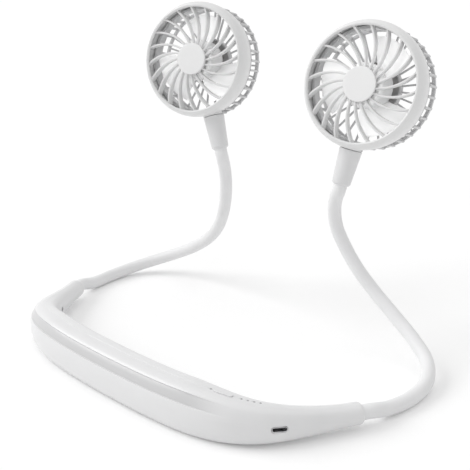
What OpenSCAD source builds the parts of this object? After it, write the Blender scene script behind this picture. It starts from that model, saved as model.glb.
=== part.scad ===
// Electric neck fan, in millimetres, +Z up.
// A U-shaped battery collar rests on the plane z = 0 with its opening towards +Y. A bendable hose leaves
// each end of the collar, runs along the floor and rises to a tapered barrel, and each barrel carries a
// caged fan head that looks towards -Y. The origin is on the floor, in the middle of the whole.

/* [Collar] */
// Half of the distance between the two ends of the collar
collar_half_span = 131; // [127:1:136]
// Distance from the plane of the ends to the middle line of the bar
collar_depth = 69.5; // [67:0.5:72]
// Outward lean of the ends, in degrees from straight ahead
collar_splay = 28.5; // [26:0.5:31]
// Height of the section in the middle of the bar
collar_h = 29; // [28:0.5:31]
// Thickness of the section in the middle of the bar
collar_w = 23; // [22.5:0.5:25]
// Diameter of the two round ends
collar_end_d = 13; // [12.8:0.1:14]
// Height of the middle of the round ends above the floor
collar_end_z = 9; // [8.4:0.2:9.6]
// Wall of the two shells
shell_wall = 1.8; // [1.5:0.1:1.9]
// Depth of the grip groove along the outer face
groove_depth = 0.8; // [0.4:0.1:1]

/* [Controls] */
// Length of the pill-shaped button
button_l = 11; // [10:0.2:12]
// Width of the button
button_w = 3; // [2.6:0.1:3.2]
// Travel of the button
button_travel = 0.3; // [0.2:0.05:0.35]
// Number of charge lights in the row beside the button
light_n = 4; // [3:1:4]
// Width of the mouth of the charging inlet
port_w = 9.4; // [9.2:0.1:9.8]
// Height of the mouth of the charging inlet
port_h = 3.7; // [3.5:0.1:3.9]

/* [Arms] */
// Outer diameter of the hoses
hose_d = 9; // [8.6:0.1:9.2]
// Diameter of the bendable core inside each hose
core_d = 4; // [3.4:0.2:4.6]
// Greatest distance of a hose's middle line from the middle plane
arm_span = 140; // [136:1:144]
// Distance from the plane of the collar's ends to the farthest point of the hoses
arm_reach = 90; // [86:1:94]
// Height of the barrels' feet
arm_rise = 112; // [106:1:118]

/* [Barrels] */
// Length of a barrel
barrel_l = 23.7; // [22:0.1:26]
// Diameter at the top of a barrel
barrel_top_d = 15; // [14:0.2:15.6]
// Diameter at the foot of a barrel
barrel_foot_d = 12.4; // [12:0.2:13]
// Diameter of the hollow pin on which the head turns
pin_d = 6; // [5:0.2:6.4]

/* [Heads] */
// Diameter of the front opening
opening_d = 72; // [68:1:76]
// Greatest diameter of the front ring
ring_d = 81; // [80:0.5:84]
// Depth of the front ring
ring_l = 14.5; // [13:0.5:15]
// Number of swirl ribs in the front grille
rib_n = 20; // [16:1:24]
// Thickness of a swirl rib
rib_t = 1.3; // [1:0.1:1.6]
// Diameter of the plain disc at the middle of the grille
disc_d = 22; // [20:0.5:24]
// Number of bars in the rear cage
bar_n = 36; // [30:2:40]
// Width of a bar
bar_w = 1.5; // [1.2:0.1:1.8]
// Depth of the rear cage behind the front ring
cage_l = 15; // [14:0.5:17]

/* [Impellers] */
// Number of blades
blade_n = 3; // [3:1:5]
// Diameter over the blade tips
blade_d = 64.6; // [62:0.2:67]
// Thickness of a blade
blade_t = 1.1; // [0.9:0.1:1.3]
// Diameter of the impeller's hub
hub_d = 28.4; // [28:0.2:30]
// Diameter of the motor shaft
shaft_d = 2; // [1.8:0.1:2.2]

/* [Pose at rest] */
// Sideways lean of the right barrel, in degrees
right_lean = 6; // [0:1:12]
// Backward tilt of the right barrel
right_tilt = 15.5; // [10:0.5:20]
// Turn of the right head on its barrel
right_turn = 8.5; // [0:0.5:20]
// Sideways lean of the left barrel
left_lean = -22; // [-28:1:-16]
// Backward tilt of the left barrel
left_tilt = 6; // [0:0.5:12]
// Turn of the left head on its barrel
left_turn = 18.5; // [0:0.5:30]

/* [Hidden] */
$fn = 72;

// Colours
shell_white = [0.93, 0.93, 0.94];
hose_white = [0.9, 0.9, 0.91];
disc_grey = [0.86, 0.86, 0.87];
steel = [0.7, 0.71, 0.73];
dark_steel = [0.25, 0.25, 0.27];
copper = [0.72, 0.4, 0.22];
bronze = [0.66, 0.5, 0.3];
board_green = [0.1, 0.35, 0.2];
cell_blue = [0.25, 0.4, 0.6];
black = [0.05, 0.05, 0.06];

// Cuts pass this far through a face
overrun = 1;
// The smallest gap between pieces that only seat on each other
seat_gap = 0.1;
// The gap round pieces that move
running_gap = 0.3;
// The radial clearance of a shaft or pin in its bore
bore_gap = 0.04;

// Distance from the origin back to the plane of the collar's ends
end_plane_y = -20.37;
// Reach of the curve's handle along the bar, and at the ends
bar_handle = 101.7;
end_handle = 62.7;
// Length over which the round end grows into the full section
taper_l = 105;
// Rounding of the ends' rims
end_round = 1.5;
// The grip groove: where it starts and stops along the bar, and the length of its run-out
groove_from = -112;
groove_to = 90;
groove_fade = 26;
groove_bevel = 0.7;
// Steps along each half of the collar
half_steps = 15;

// The collar's section, from the top seam over the outer face to the bottom seam, as shares of its
// thickness and height. The fourth and the seventh points are the edges of the grip groove.
seam_share = -0.065;
outer_shares = [
    [seam_share, 1], [0.12, 0.995], [0.22, 0.975], [0.3, 0.935], [0.455, 0.71], [0.485, 0.62], [0.5, 0.48],
    [0.495, 0.34], [0.465, 0.2], [0.4, 0.09], [0.31, 0.02], [0.22, 0], [seam_share, 0]
];
groove_top_i = 3;
// The neck side, from the bottom seam up to the top seam
inner_shares = [
    [seam_share, 0], [-0.22, 0], [-0.32, 0.02], [-0.41, 0.09], [-0.465, 0.2], [-0.49, 0.35], [-0.49, 0.6],
    [-0.47, 0.78], [-0.42, 0.9], [-0.33, 0.97], [-0.22, 0.998], [seam_share, 1]
];

// Places along the bar, measured from its middle, to the right
cell_from = 4;
cell_l = 60;
cell_t = 9;
cell_h = 22;
cell_radius = 1.5;
screw_stations = [-118, -76, 70, 126];
hose_seat_gap = 0.2;
screw_shank_r = 1;
screw_hole_r = 1.15;
screw_head_r = 2;
screw_head_h = 1.3;
screw_sunk = 0.6;
screw_post_r = 2.5;
screw_boss_r = 3.3;
screw_grip = 6;
slot_w = 0.6;
button_s = 82.3;
dot_s = 74.6;
light_s = 92.9;
light_pitch = 3.6;
lens_r = 0.7;
dot_r = 0.8;
button_flange = 0.9;
button_flange_t = 0.8;
button_flange_drop = 2.8;
button_proud = 0.5;
button_gap = 0.15;
stem_r = 1;
board_t = 1;
board_half_w = 4.6;
control_from = 73.4;
control_to = 107.4;
control_z = 17;
charging_from = 103.3;
charging_to = 119.1;
charging_z = 10.9;
port_s = 112.7;
socket_w = 8.94;
socket_h = 3.26;
socket_l = 7.3;
socket_wall = 0.3;
tongue_w = 6.7;
tongue_t = 0.7;
tongue_l = 5.2;
standoff_r = 2.2;
standoff_offset = 1.1;
standoff_s = [77.8, 90.2];
charging_standoff_s = 105.7;
board_screw_head_r = 1.7;
board_screw_head_h = 1.1;
board_screw_l = 5;
chip = [1.6, 0.8, 0.6];
switch_side = 4.5;
switch_h = 1.5;
plunger_r = 0.9;
plunger_h = 0.7;
lead_d = 1.2;
lead_offset = -2.4;
lead_pitch = 1.6;
lead_end_s = 79;

// The hose's straight stretch inside the collar, and the core's tail and anchor behind it
hose_in_collar = 9;
core_tail = 4;
anchor_t = 2.5;
straight_out = 4;
core_gap = 0.05;
// Distance between the rings of a hose, and the sides of its round
ring_step = 7.5;
hose_sides = 12;
core_sides = 8;
// The middle lines of the hoses beyond the collar: sideways, ahead and up, as shares of the arm's span,
// reach and rise. The first stretch is the same on both sides.
floor_route_shares = [
    [0.976, 0.222, 0.008], [0.997, 0.456, 0.001], [0.976, 0.7, 0.018], [0.904, 0.861, 0.06],
    [0.811, 0.937, 0.116], [0.664, 0.993, 0.218], [0.557, 1, 0.317]
];
right_route_shares = [[0.464, 0.978, 0.442], [0.39, 0.955, 0.581], [0.352, 0.926, 0.702], [0.364, 0.878, 0.898]];
left_route_shares = [[0.472, 0.985, 0.433], [0.412, 0.956, 0.572], [0.376, 0.928, 0.721], [0.352, 0.872, 0.926]];
right_foot_shares = [0.386, 0.879, 0.988];
left_foot_shares = [0.36, 0.84, 1.054];
// Route points at which the stretches of a hose meet
root_i = 1;
lower_bend_i = 8;
middle_i = 9;
upper_bend_i = 13;
top_i = 14;

// Barrel and swivel
hose_socket = 11.5;
socket_gap = 0.05;
barrel_web = 4;
foot_round = 1.9;
top_round = 0.5;
swivel_gap = 0.3;
pin_wall = 1.2;
pin_flange_r = 4.6;
pin_flange_t = 0.7;
pin_end = 1.5;
clip_groove = 0.5;
clip_r = 4.2;
clip_t = 0.7;
boss_d = 15;

// Head: places along its axis, from the swivel's axis towards the front
opening_z = 15;
ring_wall = 1.7;
lip_w = 2.2;
lip_h = 1.1;
lip_step = 0.7;
rib_arc_r = 33;
rib_slant = 11.4;
rib_turn = 48.6;
rib_extra = 3;
rib_hub_h = 2.6;
rib_ring_h = 5.6;
hub_plate_t = 2;
disc_t = 1.4;
disc_edge = 0.4;
peg_r = 4;
bar_t = 2.2;
bar_corner = 1.8;
bar_step = 0.3;
flange_t = 1.6;
flange_drop = 0.15;
floor_t = 2;
back_ring_w = 2.3;
back_ring_edge = 0.9;
back_ring_inset = 0.3;
spoke_n = 28;
spoke_inset = 0.6;
spoke_w = 1.2;
spoke_t = 1.6;
cup_d = 34.4;
cup_wall = 1.4;
cup_back = 1.5;
cup_l = 5;
tube_wall = 1;
sleeve_wall = 1.16;
rim_l = 7.5;
rim_front = 5.5;
hub_wall = 1.6;
hub_front = 11.5;
hub_back = -5;
boss_r = 3.5;
boss_l = 3.4;
magnet_t = 2.4;
magnet_from = -4.5;
magnet_to = 6;
stator_gap = 0.6;
stator_from = -6;
stator_to = 4;
stator_n = 6;
stator_hub_t = 1.8;
tooth_w = 2.4;
tooth_tip_t = 1;
tooth_tip_turn = 40;
coil_w = 4.8;
coil_over = 1.2;
coil_root_share = 0.12;
shaft_front = 10.6;
shaft_back_gap = 0.2;
blade_mid = 0.4;
blade_phase = 64;
blade_chord = 70;
blade_sweep = 9;
blade_hub_h = 6.4;
blade_tip_h = 6.8;
blade_camber = 1.4;
blade_rows = 5;
blade_steps = 8;

// Small helpers
function lerp(a, b, t) = a + (b - a) * t;
function unit(v) = v / norm(v);
function clamp01(t) = max(0, min(1, t));
function smooth(t) = let (c = clamp01(t)) c * c * (3 - 2 * c);
function bezier(p, t) =
    pow(1 - t, 3) * p[0] + 3 * pow(1 - t, 2) * t * p[1] + 3 * (1 - t) * t * t * p[2] + t * t * t * p[3];
function bezier_run(p, t) =
    3 * (pow(1 - t, 2) * (p[1] - p[0]) + 2 * (1 - t) * t * (p[2] - p[1]) + t * t * (p[3] - p[2]));
function arc(centre, r, from, to, steps) =
    [for (i = [0:steps]) centre + r * [cos(lerp(from, to, i / steps)), sin(lerp(from, to, i / steps))]];

// The collar's middle line, from the middle of the bar to the right end
half_curve = [
    [0, -collar_depth],
    [bar_handle, -collar_depth],
    [collar_half_span - end_handle * sin(collar_splay), -end_handle * cos(collar_splay)],
    [collar_half_span, 0]
];
path_steps = 48;
half_line = [for (i = [0:path_steps]) bezier(half_curve, i / path_steps)];
half_run = [
    for (i = 0, a = 0; i <= path_steps;
         i = i + 1, a = a + norm(half_line[min(i, path_steps)] - half_line[min(i, path_steps) - 1]))
    a
];
half_l = half_run[path_steps];
run_table = [for (i = [0:path_steps]) [half_run[i], i / path_steps]];
function side_of(s) = s < 0 ? -1 : 1;
function line_at(s) = let (p = bezier(half_curve, lookup(abs(s), run_table))) [side_of(s) * p.x, p.y];
function out_at(s) =
    let (d = unit(bezier_run(half_curve, lookup(abs(s), run_table)))) [side_of(s) * d.y, -d.x];
function growth(s) = smooth((half_l - abs(s)) / taper_l);
function width_at(s) = lerp(collar_end_d, collar_w, growth(s));
function height_at(s) = lerp(collar_end_d, collar_h, growth(s));
function middle_z(s) = lerp(collar_end_z, collar_h / 2, growth(s));
function rounding(s) = let (x = clamp01((half_l - abs(s)) / end_round)) end_round * (1 - sqrt(1 - pow(1 - x, 2)));
function place(s, offset, z) = let (p = line_at(s), n = out_at(s)) [p.x + n.x * offset, p.y + n.y * offset, z];

// A point of the section: a circle at the ends, the drawn shares in the bar
function section_point(share, s, size) =
    let (c = unit([share.x, share.y - 0.5]) / 2, u = growth(s))
    [size.x * lerp(c.x, share.x, u), size.y * lerp(c.y, share.y - 0.5, u)];
function outside_size(s) = let (cut = 2 * rounding(s)) [width_at(s) - cut, height_at(s) - cut];
function inside_size(s) =
    let (bore = hose_d + 2 * hose_seat_gap, u = growth(s))
    [lerp(bore, collar_w - 2 * shell_wall, u), lerp(bore, collar_h - 2 * shell_wall, u)];
function groove_at(s) =
    groove_depth * smooth((groove_to - s) / groove_fade) * smooth((s - groove_from) / groove_fade);
function outer_points(s, size, groove) =
    let (
        p = [for (q = outer_shares) section_point(q, s, size)],
        a = p[groove_top_i],
        b = p[groove_top_i + 1],
        e = unit(b - a),
        sink = groove * [e.y, -e.x]
    )
    [
        for (i = [0:groove_top_i]) p[i],
        a + e * groove_bevel + sink,
        b - e * groove_bevel + sink,
        for (i = [groove_top_i + 1:len(p) - 1]) p[i]
    ];
function inner_points(s, size) = [for (q = inner_shares) section_point(q, s, size)];
function in_space(points, s) = [for (p = points) place(s, p.x, middle_z(s) + p.y)];
stations = [
    -half_l, -half_l + 0.35 * end_round, -half_l + end_round,
    for (i = [1:2 * half_steps - 1]) lerp(-half_l + end_round, half_l - end_round, i / (2 * half_steps)),
    half_l - end_round, half_l - 0.35 * end_round, half_l
];

// A closed wall: each ring runs along the outside and back along the inside
module swept_wall(outsides, insides) {
    n = len(outsides[0]);
    m = 2 * n;
    rows = len(outsides);
    points = [for (i = [0:rows - 1], p = concat(outsides[i], [for (j = [n - 1:-1:0]) insides[i][j]])) p];
    last = (rows - 1) * m;
    faces = [
        for (i = [0:rows - 2], j = [0:m - 1])
            let (a = i * m + j, b = i * m + (j + 1) % m, c = a + m, d = b + m)
            each [[a, d, b], [a, c, d]],
        for (j = [0:n - 2]) each [[j, j + 1, m - 1 - j], [m - 1 - j, j + 1, m - 2 - j]],
        for (j = [0:n - 2])
            each [[last + j, last + m - 1 - j, last + j + 1], [last + m - 1 - j, last + m - 2 - j, last + j + 1]]
    ];
    polyhedron(points, faces);
}

// The collar's own frame at a station: +X out of the collar, +Y along it, +Z up
module on_collar(s, offset = 0, z = 0) {
    translate(place(s, offset, z))
        rotate(atan2(out_at(s).y, out_at(s).x))
            children();
}
// A round bar along the outward direction, from one offset to another
module outward_bar(r, from, to) {
    translate([from, 0, 0])
        rotate([0, 90, 0])
            cylinder(r = r, h = to - from);
}

// The button and the lights lie on the seam between the shells
control_offset = seam_share * collar_w;

// The roof of the collar over a station, and the slope of the roof along it
function roof_z(s) = middle_z(s) + height_at(s) / 2;
function floor_z(s) = middle_z(s) - height_at(s) / 2;
function roof_slope(s) = atan2(roof_z(s + end_round) - roof_z(s - end_round), 2 * end_round);
module on_roof(s) {
    on_collar(s, control_offset, roof_z(s))
        rotate([roof_slope(s), 0, 0])
            children();
}
module pill(l, w, h) {
    linear_extrude(h) {
        square([w, l - w], center = true);
        for (side = [-1, 1])
            translate([0, side * (l - w) / 2])
                circle(d = w);
    }
}
light_places = [for (i = [0:light_n - 1]) light_s + i * light_pitch];

module shell_post(s) {
    on_collar(s, 0, middle_z(s))
        outward_bar(screw_post_r, seam_share * width_at(s), width_at(s) / 2 - shell_wall / 2);
}
module shell_boss(s) {
    on_collar(s, 0, middle_z(s))
        outward_bar(screw_boss_r, shell_wall / 2 - width_at(s) / 2, seam_share * width_at(s));
}
module control_holes() {
    on_roof(button_s)
        translate([0, 0, -button_flange_drop])
            pill(button_l + 2 * button_gap, button_w + 2 * button_gap, button_flange_drop + overrun);
    for (s = light_places)
        on_collar(s, control_offset, control_z + board_t)
            cylinder(r = lens_r, h = collar_h);
    on_collar(dot_s, control_offset, control_z + board_t)
        cylinder(r = dot_r, h = collar_h);
}
module collar_outer_shell() {
    color(shell_white)
        difference() {
            union() {
                swept_wall(
                    [for (s = stations) in_space(outer_points(s, outside_size(s), groove_at(s)), s)],
                    [for (s = stations) in_space(outer_points(s, inside_size(s), 0), s)]
                );
                for (s = screw_stations)
                    shell_post(s);
                for (s = standoff_s)
                    standoff(s, control_z);
                standoff(charging_standoff_s, charging_z);
            }
            for (s = screw_stations)
                on_collar(s, 0, middle_z(s))
                    outward_bar(screw_shank_r, seam_share * width_at(s) - overrun, seam_share * width_at(s) + screw_grip);
            for (s = standoff_s)
                board_screw_shank(s, control_z);
            board_screw_shank(charging_standoff_s, charging_z);
            control_holes();
            on_collar(port_s, width_at(port_s) / 2 - 2 * shell_wall, charging_z + socket_h / 2)
                slot_prism(port_w, port_h, 3 * shell_wall);
        }
}
module collar_inner_shell() {
    color(shell_white)
        difference() {
            union() {
                swept_wall(
                    [for (s = stations) in_space(inner_points(s, outside_size(s)), s)],
                    [for (s = stations) in_space(inner_points(s, inside_size(s)), s)]
                );
                for (s = screw_stations)
                    shell_boss(s);
            }
            for (s = screw_stations)
                on_collar(s, 0, middle_z(s)) {
                    outward_bar(screw_hole_r, -collar_w, collar_w);
                    outward_bar(screw_head_r + seat_gap, -collar_w, screw_sunk + screw_head_h - width_at(s) / 2);
                }
            control_holes();
        }
}
module cross_slot(r, depth) {
    for (turn = [0, 90])
        rotate(turn)
            translate([0, 0, depth / 2])
                cube([2 * r, slot_w, depth], center = true);
}
module collar_screws() {
    color(steel)
        for (s = screw_stations)
            on_collar(s, screw_sunk - width_at(s) / 2, middle_z(s))
                rotate([0, 90, 0])
                    difference() {
                        union() {
                            cylinder(r = screw_head_r, h = screw_head_h);
                            cylinder(r = screw_shank_r, h = width_at(s) / 2 - screw_sunk + seam_share * width_at(s) + screw_grip);
                        }
                        translate([0, 0, -overrun])
                            cross_slot(0.7 * screw_head_r, overrun + screw_head_h / 2);
                    }
}

// Standoffs rise from the collar's floor to a board
module standoff(s, top) {
    on_collar(s, standoff_offset, floor_z(s) + shell_wall / 2)
        cylinder(r = standoff_r, h = top - board_t - floor_z(s) - shell_wall / 2);
}
module board_screw_shank(s, top) {
    on_collar(s, standoff_offset, top - board_t - board_screw_l)
        cylinder(r = screw_shank_r, h = board_t + board_screw_l);
}
module board_hole(s, top) {
    on_collar(s, standoff_offset, top - board_t - overrun)
        cylinder(r = screw_hole_r, h = board_t + 2 * overrun);
}
module board_outline(from, to) {
    steps = 6;
    line = [for (i = [0:steps]) lerp(from, to, i / steps)];
    polygon([
        for (s = line) let (p = place(s, -board_half_w, 0)) [p.x, p.y],
        for (i = [steps:-1:0]) let (p = place(line[i], board_half_w, 0)) [p.x, p.y]
    ]);
}
module control_board() {
    color(board_green)
        difference() {
            translate([0, 0, control_z - board_t])
                linear_extrude(board_t)
                    board_outline(control_from, control_to);
            for (s = standoff_s)
                board_hole(s, control_z);
        }
}
module charging_board() {
    color(board_green)
        difference() {
            translate([0, 0, charging_z - board_t])
                linear_extrude(board_t)
                    board_outline(charging_from, charging_to);
            board_hole(charging_standoff_s, charging_z);
        }
}
module board_screw(s, top) {
    on_collar(s, standoff_offset, top)
        difference() {
            union() {
                cylinder(r = board_screw_head_r, h = board_screw_head_h);
                translate([0, 0, -board_t - board_screw_l])
                    cylinder(r = screw_shank_r, h = board_t + board_screw_l);
            }
            translate([0, 0, board_screw_head_h / 2])
                cross_slot(0.7 * board_screw_head_r, board_screw_head_h);
        }
}
module board_screws() {
    color(steel) {
        for (s = standoff_s)
            board_screw(s, control_z);
        board_screw(charging_standoff_s, charging_z);
    }
}

// A flat prism with round ends, lying across the outward direction and running along it
module slot_prism(w, h, l) {
    rotate([90, 0, 90])
        linear_extrude(l) {
            square([w - h, h], center = true);
            for (side = [-1, 1])
                translate([side * (w - h) / 2, 0])
                    circle(d = h);
        }
}
port_mouth = width_at(port_s) / 2 - shell_wall / 4;
module at_port(back) {
    on_collar(port_s, port_mouth - back, charging_z + socket_h / 2)
        children();
}
module usb_socket_shell() {
    color(steel)
        at_port(socket_l)
            difference() {
                slot_prism(socket_w, socket_h, socket_l);
                translate([socket_wall, 0, 0])
                    slot_prism(socket_w - 2 * socket_wall, socket_h - 2 * socket_wall, socket_l);
            }
}
module usb_socket_tongue() {
    color(black)
        at_port(socket_l - socket_wall)
            translate([0, -tongue_w / 2, -tongue_t / 2])
                cube([tongue_l, tongue_w, tongue_t]);
}
module tactile_switch() {
    color(black)
        on_collar(button_s, control_offset, control_z) {
            translate([-switch_side / 2, -switch_side / 2, 0])
                cube([switch_side, switch_side, switch_h]);
            cylinder(r = plunger_r, h = switch_h + plunger_h);
        }
}
switch_top = control_z + switch_h + plunger_h;
button_stem = (roof_z(button_s) - switch_top - button_travel) / cos(roof_slope(button_s))
    - button_flange_drop - button_flange_t - seat_gap;
module power_button() {
    color(shell_white)
        on_roof(button_s) {
            translate([0, 0, -button_flange_drop - button_flange_t / 2])
                pill(button_l, button_w, button_flange_t / 2 + button_flange_drop + button_proud);
            translate([0, 0, -button_flange_drop - button_flange_t])
                pill(button_l + button_flange, button_w + button_flange, button_flange_t);
            translate([0, 0, -button_flange_drop - button_flange_t - button_stem])
                cylinder(r = stem_r, h = button_stem + button_flange_t / 2);
        }
}
module light_chip(s) {
    on_collar(s, control_offset, control_z)
        translate([-chip.x / 2, -chip.y / 2, 0])
            cube(chip);
}
module status_lights() {
    color([0.9, 0.9, 0.7]) {
        for (s = light_places)
            light_chip(s);
        light_chip(dot_s);
    }
}
module lens(s, r) {
    on_collar(s, control_offset, control_z + chip.z)
        cylinder(r = r, h = roof_z(s) - control_z - chip.z - 2 * seat_gap);
}
module indicator_lenses() {
    color([0.3, 0.3, 0.33]) {
        for (s = light_places)
            lens(s, lens_r);
        lens(dot_s, dot_r);
    }
}
module battery_cells() {
    color(cell_blue)
        for (side = [-1, 1])
            on_collar(side * (cell_from + cell_l / 2), 0, shell_wall + 2 * running_gap)
                linear_extrude(cell_h) {
                    square([cell_t - 2 * cell_radius, cell_l], center = true);
                    square([cell_t, cell_l - 2 * cell_radius], center = true);
                    for (x = [-1, 1], y = [-1, 1])
                        translate([x * (cell_t / 2 - cell_radius), y * (cell_l / 2 - cell_radius)])
                            circle(r = cell_radius);
                }
}
// The leads run from the right cell's end under the screw post and up to the board
lead_steps = 8;
lead_start_share = 0.34;
lead_flat_share = 0.45;
lead_line = [
    for (i = [0:lead_steps])
    let (t = i / lead_steps, lift = smooth((t - lead_flat_share) / (1 - lead_flat_share)))
    [
        lerp(cell_from + cell_l + running_gap, lead_end_s, t),
        lerp(lead_start_share * cell_h, control_z - board_t - seat_gap - lead_d / 2, lift)
    ]
];
module battery_leads() {
    color("firebrick")
        for (side = [0, 1])
            rod(line_rings([for (p = lead_line) place(p.x, lead_offset - side * lead_pitch, p.y)], lead_d / 2, core_sides));
}

// Round sweeps along a line of points
function forward_at(line, i) =
    let (n = len(line) - 1) unit(line[min(i + 1, n)] - line[max(i - 1, 0)]);
function square_to(v, along) = unit(v - (v * along) * along);
function framed(line, forwards) = [
    for (i = 0, u = square_to([0, 0, 1], forwards[0]); i < len(line);
         i = i + 1, u = square_to(u, forwards[min(i, len(line) - 1)]))
    u
];
function rings(line, forwards, r, sides) =
    let (ups = framed(line, forwards))
    [
        for (i = [0:len(line) - 1])
        let (u = ups[i], v = cross(forwards[i], u))
        [for (k = [0:sides - 1]) line[i] + r * (cos(360 * k / sides) * u + sin(360 * k / sides) * v)]
    ];
function line_rings(line, r, sides) =
    rings(line, [for (i = [0:len(line) - 1]) forward_at(line, i)], r, sides);
function wrap_faces(rows, sides, base, flip) = [
    for (i = [0:rows - 2], k = [0:sides - 1])
    let (
        a = base + i * sides + k,
        b = base + i * sides + (k + 1) % sides,
        c = a + sides,
        d = b + sides
    )
    each (flip ? [[a, b, d], [a, d, c]] : [[a, d, b], [a, c, d]])
];
module rod(rings) {
    sides = len(rings[0]);
    rows = len(rings);
    last = (rows - 1) * sides;
    polyhedron(
        [for (r = rings, p = r) p],
        [
            each wrap_faces(rows, sides, 0, false),
            for (k = [1:sides - 2]) [0, k, k + 1],
            for (k = [1:sides - 2]) [last, last + k + 1, last + k]
        ]
    );
}
module pipe(outside, inside) {
    sides = len(outside[0]);
    rows = len(outside);
    inner = rows * sides;
    last = (rows - 1) * sides;
    polyhedron(
        [for (r = concat(outside, inside), p = r) p],
        [
            each wrap_faces(rows, sides, 0, false),
            each wrap_faces(rows, sides, inner, true),
            for (k = [0:sides - 1])
                let (j = (k + 1) % sides)
                each [[k, j, inner + k], [j, inner + j, inner + k]],
            for (k = [0:sides - 1])
                let (j = (k + 1) % sides)
                each [[last + k, inner + last + k, last + j], [last + j, inner + last + k, inner + last + j]]
        ]
    );
}

// The arms' middle lines. side is 1 for the right arm and -1 for the left one.
hose_r = hose_d / 2;
core_r = core_d / 2;
function lean(side) = side > 0 ? right_lean : left_lean;
function tilt(side) = side > 0 ? right_tilt : left_tilt;
function turn(side) = side > 0 ? right_turn : left_turn;
function barrel_axis(side) =
    [cos(tilt(side)) * sin(lean(side)), sin(tilt(side)), cos(tilt(side)) * cos(lean(side))];
function reached(share, side) =
    [side * share[0] * arm_span, share[1] * arm_reach, hose_r + share[2] * (arm_rise - hose_r)];
function foot(side) = reached(side > 0 ? right_foot_shares : left_foot_shares, side);
function mouth(side) = [side * collar_half_span, 0, collar_end_z];
function mouth_axis(side) = [side * sin(collar_splay), cos(collar_splay), 0];
function route(side) = [
    mouth(side) - (hose_in_collar + core_tail) * mouth_axis(side),
    mouth(side) - hose_in_collar * mouth_axis(side),
    mouth(side),
    mouth(side) + straight_out * mouth_axis(side),
    for (p = floor_route_shares) reached(p, side),
    for (p = side > 0 ? right_route_shares : left_route_shares) reached(p, side),
    foot(side) - straight_out * barrel_axis(side),
    foot(side),
    foot(side) + hose_socket * barrel_axis(side),
    foot(side) + (hose_socket + pin_end / 2) * barrel_axis(side)
];
right_route = route(1);
left_route = route(-1);
// The direction of the line at a route point: each neighbour counts by how near it is
function route_way(r, i) =
    i == 0 ? unit(r[1] - r[0])
    : i == len(r) - 1 ? unit(r[i] - r[i - 1])
    : let (before = r[i] - r[i - 1], after = r[i + 1] - r[i])
      unit(unit(before) * norm(after) + unit(after) * norm(before));
function route_curve(r, i) =
    let (l = norm(r[i + 1] - r[i]) / 3)
    [r[i], r[i] + l * route_way(r, i), r[i + 1] - l * route_way(r, i + 1), r[i + 1]];
function curve_steps(r, i) = max(1, round(norm(r[i + 1] - r[i]) / ring_step));
// A stretch between two route points, as its points and its directions
function stretch_line(r, from, to) = [
    for (i = [from:to - 1], k = [0:curve_steps(r, i) - 1]) bezier(route_curve(r, i), k / curve_steps(r, i)),
    r[to]
];
function stretch_ways(r, from, to) = [
    for (i = [from:to - 1], k = [0:curve_steps(r, i) - 1])
        unit(bezier_run(route_curve(r, i), k / curve_steps(r, i))),
    route_way(r, to)
];
// Rings of a stretch, cut from those of the whole arm, so that neighbours share a ring
function ring_count(r, i) = i == 0 ? 0 : ring_count(r, i - 1) + curve_steps(r, i - 1);
function arm_rings(r, radius, sides) =
    let (n = len(r) - 1) rings(stretch_line(r, 0, n), stretch_ways(r, 0, n), radius, sides);
function cut_rings(all, r, from, to) = [for (i = [ring_count(r, from):ring_count(r, to)]) all[i]];
module hose(side, from, to) {
    r = side > 0 ? right_route : left_route;
    color(hose_white)
        pipe(
            cut_rings(arm_rings(r, hose_r, hose_sides), r, from, to),
            cut_rings(arm_rings(r, (core_r + core_gap) / cos(180 / hose_sides), hose_sides), r, from, to)
        );
}
module core(side, from, to) {
    r = side > 0 ? right_route : left_route;
    color(steel)
        rod(cut_rings(arm_rings(r, core_r, core_sides), r, from, to));
}
hose_end_i = len(right_route) - 2;
core_end_i = len(right_route) - 1;
// Turns +Z to a direction
module along(way) {
    rotate([0, acos(way.z), atan2(way.y, way.x)])
        children();
}
module core_anchors() {
    color(steel)
        for (side = [-1, 1])
            translate(mouth(side) - hose_in_collar * mouth_axis(side))
                along(-mouth_axis(side))
                    difference() {
                        cylinder(r = hose_r - seat_gap, h = anchor_t);
                        translate([0, 0, -overrun])
                            cylinder(r = core_r, h = anchor_t + 2 * overrun);
                    }
}

// The head's own frame: +Z out of its front, -Y down to its barrel, with its origin on the swivel's axis
ring_r = ring_d / 2;
opening_r = opening_d / 2;
swivel_face = ring_r + 0.2;
foot_to_head = barrel_l + swivel_gap + swivel_face;
module on_barrel(side) {
    translate(foot(side))
        rotate([0, lean(side), 0])
            rotate([-tilt(side), 0, 0])
                children();
}
module in_head(side) {
    on_barrel(side)
        rotate([0, 0, turn(side)])
            translate([0, 0, foot_to_head])
                rotate([90, 0, 0])
                    children();
}
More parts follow.
